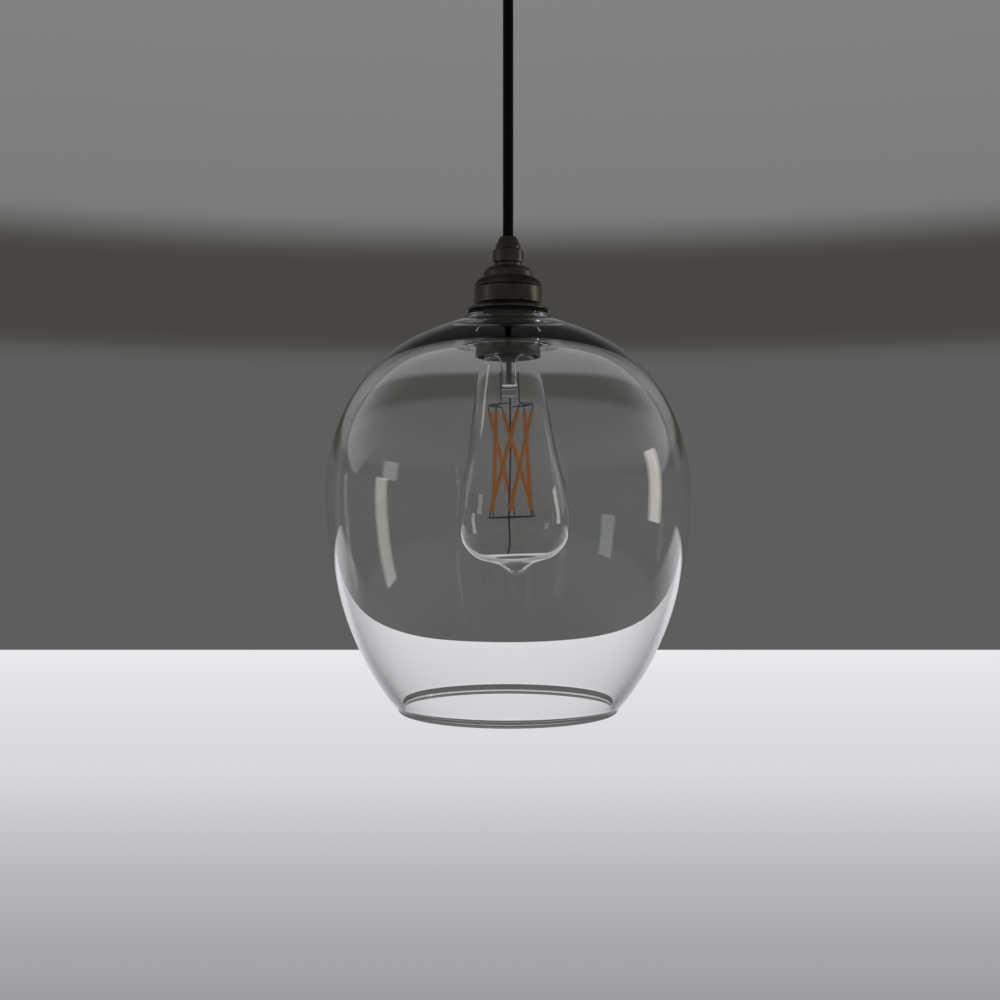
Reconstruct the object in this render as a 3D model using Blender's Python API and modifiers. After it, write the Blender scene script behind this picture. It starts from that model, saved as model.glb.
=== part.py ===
"""Pendant ceiling light: a clear glass globe and a filament bulb on a screw lampholder, hung by a
braided flex from a ceiling rose.

Metres, +Z up. The origin is the middle of the rose's fixing strap, on the ceiling. Every level below is
a height, so all of them are negative. Parts are turned about the Z axis unless they say otherwise.
"""
import math

import bmesh
import bpy
from mathutils import Matrix, Vector

# Driving dimensions
GAP = 0.0003                      # between pieces that touch
FLEX_RADIUS = 0.0030
FLEX_BORE = FLEX_RADIUS + GAP
DROP = 0.1834                     # ceiling to the top of the lampholder's cord grip
ROSE_RADIUS = 0.050
ROSE_DEPTH = 0.027
GLOBE_RADIUS = 0.1030
GLOBE_WALL = 0.0032
NECK_WALL = 0.0086                # glass thickness beside the neck
MOUTH_RADIUS = 0.0626
NECK_RADIUS = 0.0245
DOME_DROP = 0.0024                # how far the dome sits under a true sphere, at its neck
DOME_FLATTER = (0.074, 0.037)     # radii between which that grows from nothing
HOLDER_RADIUS = 0.01925
THREAD_RADIUS = 0.0169            # outside of the lampholder's threaded tube
SLEEVE_RADIUS = 0.0186
BULB_RADIUS = 0.0320
BULB_LEAN = math.radians(2.0)
CAP_THREAD_PITCH = 0.00363
CAP_RADIUS = 0.0130
FILAMENTS = 6
UPPER_RING_RADIUS = 0.0130
LOWER_RING_RADIUS = 0.0137
RING_SHIFT = -0.0013              # the lower ring hangs to one side of the bulb's own axis
HUB_SHIFT = -0.0030               # and so does the wire that carries it
FILAMENT_TWIST = math.radians(-90.0)

# Levels, from the ceiling down
SEAT = -DROP - 0.0440             # top face of the glass, under its gasket
EQUATOR = SEAT - 0.1006           # widest circle of the globe
MOUTH = EQUATOR - 0.1225          # middle of the globe's lip
BULB_PIVOT = SEAT - 0.0136        # middle of the bulb's screw cap
GRIP_MOUTH_ROSE = -ROSE_DEPTH - 0.0158
FLEX_TOP = -0.0205
FLEX_SPLIT = -DROP - 0.0095
FLEX_END = SEAT + 0.0199

COLLECTION = "pendant_light"
CUTTERS = "cutters"


# ---------------------------------------------------------------- scene and materials

def clear_scene():
    for item in list(bpy.data.objects):
        bpy.data.objects.remove(item, do_unlink=True)
    for group in list(bpy.data.collections):
        bpy.data.collections.remove(group)
    for name in (COLLECTION, CUTTERS):
        bpy.context.scene.collection.children.link(bpy.data.collections.new(name))


def material(name, colour, roughness, metallic=0.0, transmission=0.0):
    made = bpy.data.materials.new(name)
    made.use_nodes = True
    shader = made.node_tree.nodes["Principled BSDF"]
    shader.inputs["Base Color"].default_value = (*colour, 1.0)
    shader.inputs["Roughness"].default_value = roughness
    shader.inputs["Metallic"].default_value = metallic
    shader.inputs["Transmission Weight"].default_value = transmission
    made.diffuse_color = (*colour, 1.0)
    return made


# Finish of each family of parts: colour, roughness, metallic, transmission
FINISHES = {
    "bronze": ((0.055, 0.045, 0.036), 0.38, 0.9),
    "steel": ((0.45, 0.45, 0.46), 0.35, 1.0),
    "brass": ((0.62, 0.45, 0.18), 0.3, 1.0),
    "nickel": ((0.60, 0.59, 0.57), 0.28, 1.0),
    "clear_glass": ((0.93, 0.95, 0.95), 0.03, 0.0, 1.0),
    "bulb_glass": ((0.96, 0.97, 0.97), 0.02, 0.0, 1.0),
    "dark_wire": ((0.10, 0.09, 0.085), 0.45, 0.8),
    "phosphor": ((0.62, 0.22, 0.035), 0.5),
    "ceramic": ((0.80, 0.78, 0.73), 0.35),
    "black_insulator": ((0.02, 0.02, 0.022), 0.3),
    "white_plastic": ((0.78, 0.77, 0.73), 0.5),
    "rubber": ((0.04, 0.04, 0.04), 0.8),
    "black_braid": ((0.022, 0.020, 0.019), 0.85),
    "brown_core": ((0.16, 0.06, 0.025), 0.5),
    "blue_core": ((0.03, 0.10, 0.35), 0.5),
    "green_core": ((0.06, 0.28, 0.06), 0.5),
    "board": ((0.06, 0.20, 0.08), 0.5),
}


def finish(part, family):
    """Give the part a material of its own in its family's finish."""
    part.data.materials.clear()
    part.data.materials.append(material(f"{part.name}_{family}", *FINISHES[family]))


# ---------------------------------------------------------------- modelling helpers

def pivot(name, level, parent=None, lean=0.0):
    """An empty on the Z axis at a level, and its level kept for its children's outlines."""
    empty = bpy.data.objects.new(name, None)
    bpy.data.collections[COLLECTION].objects.link(empty)
    empty.empty_display_size = 0.01
    empty["level"] = level
    if parent:
        empty.parent = parent
    empty.location.z = level - (parent["level"] if parent else 0.0)
    empty.rotation_euler.y = lean
    return empty


def link(name, data, family, parent):
    part = bpy.data.objects.new(name, data)
    bpy.data.collections[COLLECTION].objects.link(part)
    part.parent = parent
    finish(part, family)
    return part


def turned(name, outline, family, parent, steps=24, closed=True):
    """Turn an outline of (radius, level) about Z. It runs down the outer side and up the inner one.

    A solid that reaches the axis starts and ends there, and is not closed."""
    bm = bmesh.new()
    dots = [bm.verts.new((r, 0.0, z - parent["level"])) for r, z in outline]
    for first, second in zip(dots, dots[1:]):
        bm.edges.new((first, second))
    if closed:
        bm.edges.new((dots[-1], dots[0]))
    mesh = bpy.data.meshes.new(name)
    bm.to_mesh(mesh)
    bm.free()
    part = link(name, mesh, family, parent)
    screw = part.modifiers.new("turn", "SCREW")
    screw.steps = steps
    screw.render_steps = steps
    screw.use_merge_vertices = True
    screw.merge_threshold = 0.00001
    screw.use_smooth_shade = True
    return part


def arc(centre, radius, start, end, count):
    """Points (radius, level) on a circle, angles in degrees from +X towards +Z."""
    angles = [math.radians(start + (end - start) * i / (count - 1)) for i in range(count)]
    return [(centre[0] + radius * math.cos(a), centre[1] + radius * math.sin(a)) for a in angles]


def spline(points, per_span):
    """A smooth line through the points: a centripetal Catmull-Rom curve, which doesn't overshoot."""
    dots = [Vector(p) for p in points]
    dots = [2 * dots[0] - dots[1], *dots, 2 * dots[-1] - dots[-2]]
    line = []
    for a, b, c, d in zip(dots, dots[1:], dots[2:], dots[3:]):
        at_b = math.sqrt((b - a).length)
        at_c = at_b + math.sqrt((c - b).length)
        at_d = at_c + math.sqrt((d - c).length)
        for step in range(per_span):
            t = at_b + (at_c - at_b) * step / per_span
            ab = a.lerp(b, t / at_b)
            bc = b.lerp(c, (t - at_b) / (at_c - at_b))
            cd = c.lerp(d, (t - at_c) / (at_d - at_c))
            abc = ab.lerp(bc, t / at_c)
            bcd = bc.lerp(cd, (t - at_b) / (at_d - at_b))
            line.append(abc.lerp(bcd, (t - at_b) / (at_c - at_b)))
    line.append(dots[-2])
    return [tuple(p) for p in line]


def wire(name, points, radius, family, parent, widths=None, sides=2, cyclic=False):
    """A round wire through points in the parent's frame; widths scale the radius along it."""
    curve = bpy.data.curves.new(name, "CURVE")
    curve.dimensions = "3D"
    curve.bevel_depth = radius
    curve.bevel_resolution = sides
    curve.use_fill_caps = not cyclic
    line = curve.splines.new("POLY")
    line.points.add(len(points) - 1)
    line.use_cyclic_u = cyclic
    for index, place in enumerate(points):
        line.points[index].co = (*place, 1.0)
        if widths:
            line.points[index].radius = widths[index]
    return link(name, curve, family, parent)


def solid_from_curve(part):
    """Swap a curve for its closed mesh, so that it can be cut or joined."""
    bpy.context.view_layer.update()
    graph = bpy.context.evaluated_depsgraph_get()
    mesh = bpy.data.meshes.new_from_object(part.evaluated_get(graph))
    bm = bmesh.new()
    bm.from_mesh(mesh)
    bmesh.ops.remove_doubles(bm, verts=bm.verts, dist=0.000001)
    bm.to_mesh(mesh)
    bm.free()
    name, parent, family_material = part.name, part.parent, part.data.materials[0]
    matrix = part.matrix_world.copy()
    bpy.data.objects.remove(part, do_unlink=True)
    made = bpy.data.objects.new(name, mesh)
    bpy.data.collections[COLLECTION].objects.link(made)
    made.parent = parent
    made.matrix_parent_inverse = parent.matrix_world.inverted()
    made.matrix_world = matrix
    mesh.materials.clear()
    mesh.materials.append(family_material)
    return made


def cylinder_mesh(name, radius, depth, steps=16):
    mesh = bpy.data.meshes.new(name)
    bm = bmesh.new()
    bmesh.ops.create_cone(bm, cap_ends=True, segments=steps, radius1=radius, radius2=radius, depth=depth)
    bm.to_mesh(mesh)
    bm.free()
    return mesh


def box_mesh(name, size):
    mesh = bpy.data.meshes.new(name)
    bm = bmesh.new()
    bmesh.ops.create_cube(bm, size=1.0, matrix=Matrix.Diagonal((*size, 1.0)))
    bm.to_mesh(mesh)
    bm.free()
    return mesh


TO_X = (0.0, math.radians(90), 0.0)
TO_Y = (math.radians(90), 0.0, 0.0)


def boolean(part, mesh, place, operation, turn=(0.0, 0.0, 0.0)):
    """Cut the part with a mesh, or join the mesh to it. The place is in the part's parent's frame."""
    tool = bpy.data.objects.new(f"{part.name}_{operation.lower()}_{len(part.modifiers)}", mesh)
    bpy.data.collections[CUTTERS].objects.link(tool)
    tool.parent = part.parent
    tool.location = place
    tool.rotation_euler = turn
    tool.hide_render = True
    tool.display_type = "WIRE"
    step = part.modifiers.new(operation.lower(), "BOOLEAN")
    step.operation = operation
    step.solver = "EXACT"
    step.object = tool


def cut(part, mesh, place, turn=(0.0, 0.0, 0.0)):
    boolean(part, mesh, place, "DIFFERENCE", turn)


def join(part, mesh, place, turn=(0.0, 0.0, 0.0)):
    boolean(part, mesh, place, "UNION", turn)


def stand(name, mesh, family, parent, place, turn=(0.0, 0.0, 0.0)):
    """Place a mesh part, at a place in its parent's frame."""
    part = link(name, mesh, family, parent)
    part.location = place
    part.rotation_euler = turn
    return part


# ---------------------------------------------------------------- ceiling rose

SIDE_SCREW_LEVEL = -0.0075
STRAP_HALF = 0.0473
STRAP_THICK = 0.0015
STRAP_TAB = 0.013
TERMINAL_X = {"live": -0.009, "neutral": 0.0, "earth": 0.009}
TERMINAL_LEVEL = -0.0085
CORES = {"live": "brown_core", "neutral": "blue_core", "earth": "green_core"}
CORE_TURN = {"live": 150, "neutral": -90, "earth": 30}
CORE_RADIUS = 0.0009


def ceiling_bracket(rose):
    """A steel strap with two turned-down tabs, slotted for the ceiling screws."""
    inner = STRAP_HALF - STRAP_THICK
    outline = [(-STRAP_HALF, 0), (-STRAP_HALF, -STRAP_TAB), (-inner, -STRAP_TAB), (-inner, -STRAP_THICK),
               (inner, -STRAP_THICK), (inner, -STRAP_TAB), (STRAP_HALF, -STRAP_TAB), (STRAP_HALF, 0)]
    curve = bpy.data.curves.new("ceiling_bracket", "CURVE")
    curve.dimensions = "2D"
    curve.fill_mode = "BOTH"
    curve.extrude = 0.009
    line = curve.splines.new("POLY")
    line.points.add(len(outline) - 1)
    line.use_cyclic_u = True
    for point, place in zip(line.points, outline):
        point.co = (*place, 0.0, 1.0)
    strap = link("ceiling_bracket", curve, "steel", rose)
    strap.rotation_euler = TO_Y
    strap = solid_from_curve(strap)
    for side in (-1, 1):
        cut(strap, cylinder_mesh("slot_end", 0.0024, 0.01, 12), (side * 0.026, 0, 0))
        cut(strap, box_mesh("slot", (0.009, 0.0047, 0.01)), (side * 0.0305, 0, 0))
        cut(strap, cylinder_mesh("slot_end", 0.0024, 0.01, 12), (side * 0.035, 0, 0))
        tab = (side * STRAP_HALF, 0, SIDE_SCREW_LEVEL)
        cut(strap, cylinder_mesh("tab_hole", 0.0022, 0.01, 12), tab, TO_X)


def rose_cup(rose):
    wall = 0.0012
    bend = 0.004
    outline = [(ROSE_RADIUS, -0.0005)]
    outline += arc((ROSE_RADIUS - bend, bend - ROSE_DEPTH), bend, 0, -90, 5)
    outline += [(0.0053, -ROSE_DEPTH), (0.0053, wall - ROSE_DEPTH)]
    outline += arc((ROSE_RADIUS - bend, bend - ROSE_DEPTH), bend - wall, -90, 0, 4)
    outline += [(ROSE_RADIUS - wall, -0.0005)]
    cup = turned("rose_cup", outline, "bronze", rose, steps=28)
    for side in (-1, 1):
        place = (side * ROSE_RADIUS, 0, SIDE_SCREW_LEVEL)
        cut(cup, cylinder_mesh("screw_hole", 0.0022, 0.01, 12), place, TO_X)


def rose_side_screws(rose):
    """Thumb screws that hold the cup to the strap's tabs, turned about Z, head up, then laid over."""
    head, shank, length = 0.0048, 0.0019, 0.0052
    for name, side in (("left", -1), ("right", 1)):
        outline = [(0, length), (head - 0.001, length), (head, length - 0.001), (head, 0), (shank, 0),
                   (shank, -0.008), (0, -0.008)]
        screw = turned(f"rose_side_screw_{name}", outline, "bronze", rose, steps=16, closed=False)
        screw.location = (side * (ROSE_RADIUS + GAP), 0, SIDE_SCREW_LEVEL)
        screw.rotation_euler = (0.0, math.radians(90 * side), 0.0)


def terminal_block(rose):
    """A three-way block: an insulating body, three brass tubes along Y and a clamping screw under each."""
    size = Vector((0.030, 0.016, 0.012))
    bottom = -0.0138
    block = stand("terminal_block", box_mesh("terminal_block", size), "white_plastic", rose,
                  (0, 0, bottom + size.z / 2))
    for name, x in TERMINAL_X.items():
        cut(block, cylinder_mesh("tube_hole", 0.0027, 0.03, 16), (x, 0, TERMINAL_LEVEL), TO_Y)
        cut(block, cylinder_mesh("screw_hole", 0.0019, 0.004, 12), (x, -0.0045, bottom + 0.001))
        ring = [(0.0024, 0.0075), (0.0024, -0.0075), (0.0015, -0.0075), (0.0015, 0.0075)]
        tube = turned(f"terminal_tube_{name}", ring, "brass", rose, steps=12)
        tube.location = (x, 0, TERMINAL_LEVEL)
        tube.rotation_euler = TO_Y
        stand(f"terminal_screw_{name}", cylinder_mesh("terminal_screw", 0.0016, 0.0024, 12), "steel", rose,
              (x, -0.0045, bottom + 0.0014))


def core_route(start_turn, start_level, end, lift):
    """A core's route from the flex's end face, curving to its terminal along the last point's approach."""
    turn = math.radians(start_turn)
    start = Vector((0.0015 * math.cos(turn), 0.0015 * math.sin(turn), start_level))
    return [start, start + Vector((0, 0, lift)), *end]


def rose_cores(rose):
    for name, x in TERMINAL_X.items():
        route = core_route(CORE_TURN[name], FLEX_TOP + 2 * GAP, [
            Vector((x * 0.6, -0.0105, -0.0150)), Vector((x, -0.0125, -0.0098)),
            Vector((x, -0.0100, TERMINAL_LEVEL)), Vector((x, -0.0030, TERMINAL_LEVEL))], 0.0022)
        wire(f"rose_core_{name}", spline(route, 3), CORE_RADIUS, CORES[name], rose, sides=1)


def rose_grip(rose):
    """The gland under the cup that the flex hangs from: a body through the cup, its lock nut and a nut."""
    under = -ROSE_DEPTH - GAP
    body = [(0.0049, -0.0215), (0.0049, under), (0.0085, under), (0.0089, under - 0.0006),
            (0.0089, under - 0.0082), (0.0079, under - 0.0090), (0.0072, under - 0.0090),
            (0.0072, under - 0.0034), (FLEX_BORE, under - 0.0034), (FLEX_BORE, -0.0215)]
    turned("rose_grip_body", body, "bronze", rose, steps=16)
    level = (0, 0, -ROSE_DEPTH + 0.0030)
    locknut = stand("rose_grip_locknut", cylinder_mesh("locknut", 0.0080, 0.0028, 6), "steel", rose, level)
    cut(locknut, cylinder_mesh("locknut_bore", 0.0053, 0.01, 16), level)
    nut = grip_nut_outline()
    top = GRIP_MOUTH_ROSE
    turned("rose_grip_nut", [(r, top - z) for r, z in reversed(nut)], "bronze", rose, steps=16)


def grip_nut_outline():
    """Gland nut with its mouth at level 0 and its threaded spigot below, hollow for the collet."""
    return [(0.0046, 0.0), (0.0050, -0.0006), (0.0076, -0.0056), (0.0076, -0.0062), (0.0069, -0.0062),
            (0.0069, -0.0096), (0.0061, -0.0096), (0.0061, -0.0044), (FLEX_BORE, -0.0016), (FLEX_BORE, 0.0)]


# ---------------------------------------------------------------- flex

def flex(swing, holder):
    cord = [(0, 0, z - swing["level"]) for z in levels(FLEX_TOP, FLEX_SPLIT, 14)]
    wire("flex_cord", cord, FLEX_RADIUS, "black_braid", swing)
    tail = [(0, 0, z - holder["level"]) for z in levels(FLEX_SPLIT - GAP, FLEX_END, 3)]
    wire("flex_tail", tail, FLEX_RADIUS, "black_braid", holder)


def levels(top, bottom, count):
    return [top + (bottom - top) * i / (count - 1) for i in range(count)]


# ---------------------------------------------------------------- lampholder

def cord_grip(holder, collet_pivot, nut_pivot):
    top = -DROP
    turned("cord_grip_nut", [(r, top + z) for r, z in grip_nut_outline()], "bronze", nut_pivot, steps=16)
    collet = [(0.0037, top - 0.0025), (0.0057, top - 0.0045), (0.0057, top - 0.0116),
              (FLEX_BORE, top - 0.0116), (FLEX_BORE, top - 0.0025)]
    jaws = turned("cord_grip_collet", collet, "black_insulator", collet_pivot, steps=16)
    for turn in (0, 90):
        cut(jaws, box_mesh("slit", (0.02, 0.0009, 0.010)),
            (0, 0, top - 0.0038 - collet_pivot["level"]), (0, 0, math.radians(turn)))
    body = [(0.0079, top - 0.0072), (0.0089, top - 0.0080), (0.0089, top - 0.0148), (0.0084, top - 0.0152),
            (0.00795, top - 0.0152), (0.00795, top - 0.0172), (0.0049, top - 0.0172), (0.0049, top - 0.0233),
            (FLEX_BORE, top - 0.0233), (FLEX_BORE, top - 0.0122), (0.0072, top - 0.0122),
            (0.0072, top - 0.0072)]
    turned("cord_grip_body", body, "bronze", holder, steps=18)


def holder_cap(holder):
    """The dome: a rounded shoulder, an outward step and a spigot that screws into the body."""
    roof = SEAT + 0.0264
    shoulder = 0.0035
    outline = [(0.0053, roof), (0.0143 - shoulder, roof)]
    outline += arc((0.0143 - shoulder, roof - shoulder), shoulder, 70, 0, 4)
    outline += [(0.0143, SEAT + 0.0150), (0.0172, SEAT + 0.0150), (0.0172, SEAT + 0.0078),
                (0.0157, SEAT + 0.0078), (0.0157, SEAT + 0.0136), (0.0129, SEAT + 0.0136)]
    outline += arc((0.0143 - shoulder, roof - shoulder), 0.0021, 0, 90, 3)
    outline += [(0.0053, roof - 0.0014)]
    turned("holder_cap", outline, "bronze", holder, steps=24)


def knurled_ring(holder):
    """The sloping ring between the cap and the body. Its knurl is too fine for these solids."""
    outline = [(0.0148, SEAT + 0.0203), (0.0166, SEAT + 0.0196), (0.0183, SEAT + 0.0178),
               (0.0191, SEAT + 0.0163), (0.0191, SEAT + 0.0154), (0.0146, SEAT + 0.0154),
               (0.0146, SEAT + 0.0203)]
    turned("knurled_ring", outline, "bronze", holder, steps=30)


def holder_body(holder):
    top, step, foot = SEAT + 0.0150, SEAT + 0.0056, SEAT - 0.0187
    outline = [(HOLDER_RADIUS, top), (HOLDER_RADIUS, step), (THREAD_RADIUS, step), (THREAD_RADIUS, foot),
               (0.0159, foot), (0.0159, step + 0.0014), (0.0176, step + 0.0014), (0.0176, top)]
    turned("holder_body", outline, "bronze", holder, steps=28)


def shade_flange_ring(holder):
    """The coned ring that the glass is drawn up against."""
    outline = [(0.0178, SEAT + 0.0053), (0.0200, SEAT + 0.0050), (0.0238, SEAT + 0.0030),
               (0.0239, SEAT + 0.0016), (0.0172, SEAT + 0.0013), (0.0172, SEAT + 0.0053)]
    turned("shade_flange_ring", outline, "bronze", holder, steps=28)
    gasket = [(0.0230, SEAT + 0.0010), (0.0230, SEAT + GAP), (0.0175, SEAT + GAP), (0.0175, SEAT + 0.0010)]
    turned("upper_gasket", gasket, "rubber", holder, steps=24)


def socket(holder):
    """The insulator, with a pocket for the sprung contact, and the screw shell that takes the bulb."""
    top, flange, roof, foot = SEAT + 0.0124, SEAT + 0.0067, SEAT + 0.0046, SEAT - 0.0176
    insulator = [(0.0105, top), (0.0105, flange), (0.0155, flange), (0.0155, foot), (0.0148, foot),
                 (0.0148, roof), (0.0045, roof), (0.0045, top - 0.0022), (0.0020, top - 0.0022),
                 (0.0020, top)]
    block = turned("socket_insulator", insulator, "ceramic", holder, steps=20)
    shell = [(0.0144, SEAT + 0.0009), (0.0144, SEAT - 0.0171), (0.01375, SEAT - 0.0171),
             (0.01375, SEAT + 0.0009)]
    turned("thread_shell", shell, "brass", holder, steps=20)
    for name, side in (("live", 1), ("neutral", -1)):
        place = Vector((side * 0.0060, 0, top - holder["level"]))
        plate = stand(f"{name}_terminal_plate", box_mesh("plate", (0.0070, 0.0050, 0.0008)), "brass", holder,
                      place + Vector((0, 0, 0.0007)))
        cut(plate, cylinder_mesh("plate_hole", 0.0013, 0.004, 10), place)
        cut(block, cylinder_mesh("screw_hole", 0.0013, 0.008, 10), place)
        screw = [(0, 0.0026), (0.0019, 0.0026), (0.0019, 0.0014), (0.0010, 0.0014), (0.0010, -0.0034),
                 (0, -0.0034)]
        level = holder["level"]
        made = turned(f"{name}_terminal_screw", [(r, z + level) for r, z in screw], "steel", holder,
                      steps=12, closed=False)
        made.location = place


def contact(holder, contact_pivot):
    """The sprung plunger that meets the bulb's tip, and the coil spring behind its head."""
    head = SEAT + 0.0043
    outline = [(0, head + 0.0074), (0.0014, head + 0.0074), (0.0014, head + 0.0009), (0.0038, head + 0.0009),
               (0.0038, head + 0.0003), (0.0033, head), (0, head)]
    turned("centre_contact", outline, "brass", contact_pivot, steps=16, closed=False)
    turns, per_turn, bottom, height = 3.5, 10, head + 0.0015, 0.0038
    count = int(turns * per_turn)
    helix = []
    for step in range(count + 1):
        angle = 2 * math.pi * step / per_turn
        rise = bottom + height * step / count - holder["level"]
        helix.append((0.0028 * math.cos(angle), 0.0028 * math.sin(angle), rise))
    wire("contact_spring", helix, 0.00028, "steel", holder, sides=0)


def earth_and_cores(holder):
    post = stand("earth_terminal", box_mesh("earth_terminal", (0.0040, 0.0034, 0.0045)), "brass", holder,
                 (0, 0.0088, SEAT + 0.0205 - holder["level"]))
    hole = (0, 0.0088, SEAT + 0.0199 - holder["level"])
    cut(post, cylinder_mesh("post_hole", 0.0012, 0.01, 10), hole, TO_Y)
    ends = {
        "live": [Vector((0.0062, -0.0040, SEAT + 0.0165)), Vector((0.0066, -0.0032, SEAT + 0.0144))],
        "neutral": [Vector((-0.0062, -0.0040, SEAT + 0.0165)), Vector((-0.0066, -0.0032, SEAT + 0.0144))],
        "earth": [Vector((0, 0.0036, SEAT + 0.0176)), Vector((0, 0.0060, SEAT + 0.0197)),
                  Vector((0, 0.0086, SEAT + 0.0199))],
    }
    turns = {"live": -45, "neutral": 225, "earth": 90}
    for name, end in ends.items():
        route = core_route(turns[name], FLEX_END - 2 * GAP, end, -0.0010)
        local = [place - Vector((0, 0, holder["level"])) for place in route]
        wire(f"holder_core_{name}", spline(local, 3), 0.0008, CORES[name], holder, sides=1)


# ---------------------------------------------------------------- glass shade

def dome_drop(radius):
    """How far the dome sits under a true sphere at a radius."""
    far, near = DOME_FLATTER
    share = min(1.0, max(0.0, (far - radius) / (far - near)))
    return DOME_DROP * share * share * (3 - 2 * share)


def globe_outside():
    """Outer face from neck to mouth: a slightly flattened sphere, and an ellipse below its middle."""
    start = math.degrees(math.acos(NECK_RADIUS / GLOBE_RADIUS))
    upper = [(r, z - dome_drop(r)) for r, z in arc((0, EQUATOR), GLOBE_RADIUS, start, 0, 11)]
    depth = (EQUATOR - MOUTH) / math.sqrt(1 - (MOUTH_RADIUS / GLOBE_RADIUS) ** 2)
    end = math.asin((EQUATOR - MOUTH) / depth)
    lower = [(GLOBE_RADIUS * math.cos(a), EQUATOR - depth * math.sin(a))
             for a in (end * i / 7 for i in range(1, 8))]
    return upper + lower


def wall_at(radius, level):
    """Glass thickness: thin at the widest circle and mouth, thick where the globe meets its neck."""
    if level <= EQUATOR:
        return GLOBE_WALL
    towards_neck = math.acos(min(1.0, radius / GLOBE_RADIUS)) / math.acos(NECK_RADIUS / GLOBE_RADIUS)
    return GLOBE_WALL + (NECK_WALL - GLOBE_WALL) * towards_neck ** 4


def inside_of(outside, wall):
    """The inner face of a turned glass, each point moved in along the outline's normal."""
    inner = []
    for index, (radius, level) in enumerate(outside):
        before = outside[max(index - 1, 0)]
        after = outside[min(index + 1, len(outside) - 1)]
        along = Vector((after[0] - before[0], after[1] - before[1])).normalized()
        thick = wall(radius, level)
        inner.append((radius + along.y * thick, level - along.x * thick))
    return inner


def glass_shade(shade):
    """One blown piece: a flat seat, a short collar, the globe, a rolled mouth and an inner lip."""
    outside = globe_outside()
    inside = inside_of(outside, wall_at)
    bead = GLOBE_WALL / 2 + 0.0002
    lip = (MOUTH_RADIUS - bead, MOUTH - 0.0002)
    outline = [(NECK_RADIUS - 0.0012, SEAT), (NECK_RADIUS, SEAT - 0.0010)]
    outline += outside[:-1]
    outline += arc(lip, bead, 10, -190, 6)
    outline += list(reversed([p for p in inside[:-1] if p[0] > NECK_RADIUS + 0.006]))
    outline += [(NECK_RADIUS + 0.0030, SEAT - 0.0104), (NECK_RADIUS + 0.0006, SEAT - 0.0108),
                (NECK_RADIUS, SEAT - 0.0118), (NECK_RADIUS - 0.0010, SEAT - 0.0126),
                (NECK_RADIUS - 0.0028, SEAT - 0.0127), (0.01975, SEAT - 0.0114), (0.01975, SEAT - 0.0044),
                (0.0173, SEAT - 0.0044), (0.0173, SEAT)]
    turned("glass_shade", outline, "clear_glass", shade, steps=40)
    washer = [(0.0190, SEAT - 0.0047), (0.0190, SEAT - 0.0054), (0.0174, SEAT - 0.0054),
              (0.0174, SEAT - 0.0047)]
    turned("lower_washer", washer, "rubber", shade, steps=24)


def sleeve_nut(sleeve):
    """The long ring nut under the glass: threaded at the top, a plain skirt with a beaded rim below."""
    top, thread_end, rim = SEAT - 0.0057, SEAT - 0.0135, SEAT - 0.0219
    outline = [(SLEEVE_RADIUS, top), (SLEEVE_RADIUS, rim + 0.0014), (SLEEVE_RADIUS + 0.0003, rim + 0.0007),
               (SLEEVE_RADIUS, rim), (0.01775, rim), (0.01775, thread_end), (0.0172, thread_end),
               (0.0172, top)]
    turned("sleeve_nut", outline, "bronze", sleeve, steps=28)


# ---------------------------------------------------------------- bulb

BULB_TOP = SEAT + 0.0040          # the tip contact's crown
CAP_FOOT = SEAT - 0.0205          # the screw cap's rim, where the glass leaves it
STEM_END = SEAT - 0.0467
UPPER_RING = SEAT - 0.0513
LOWER_RING = SEAT - 0.1153
BULB_TIP = SEAT - 0.1475


def bulb_outside():
    """Outer face of the envelope, from inside the cap down to its tip."""
    neck = [(0.0115, CAP_FOOT + 0.0063), (0.0115, CAP_FOOT + 0.0022)]
    body = [(0.0131, CAP_FOOT - 0.0002), (0.0150, SEAT - 0.0222), (0.0161, SEAT - 0.0245),
            (0.0168, SEAT - 0.0290), (0.0190, SEAT - 0.0396), (0.0262, SEAT - 0.0826),
            (0.0306, SEAT - 0.1036), (BULB_RADIUS, SEAT - 0.1182), (0.0292, SEAT - 0.1301),
            (0.0216, SEAT - 0.1380), (0.0105, SEAT - 0.1415), (0.0075, SEAT - 0.1433),
            (0.0056, SEAT - 0.1449), (0.0036, SEAT - 0.1467), (0, BULB_TIP)]
    return neck + spline(body, 2)


def bulb_envelope(bulb):
    wall = 0.0008
    outside = bulb_outside()
    inside = inside_of(outside, lambda radius, level: wall)
    inside = [p for p in inside if p[0] > 0.003] + [(0.0, BULB_TIP + 0.0014)]
    inside[0] = (inside[0][0], outside[0][1])
    turned("bulb_envelope", list(reversed(inside)) + outside, "bulb_glass", bulb, steps=24, closed=False)


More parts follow.
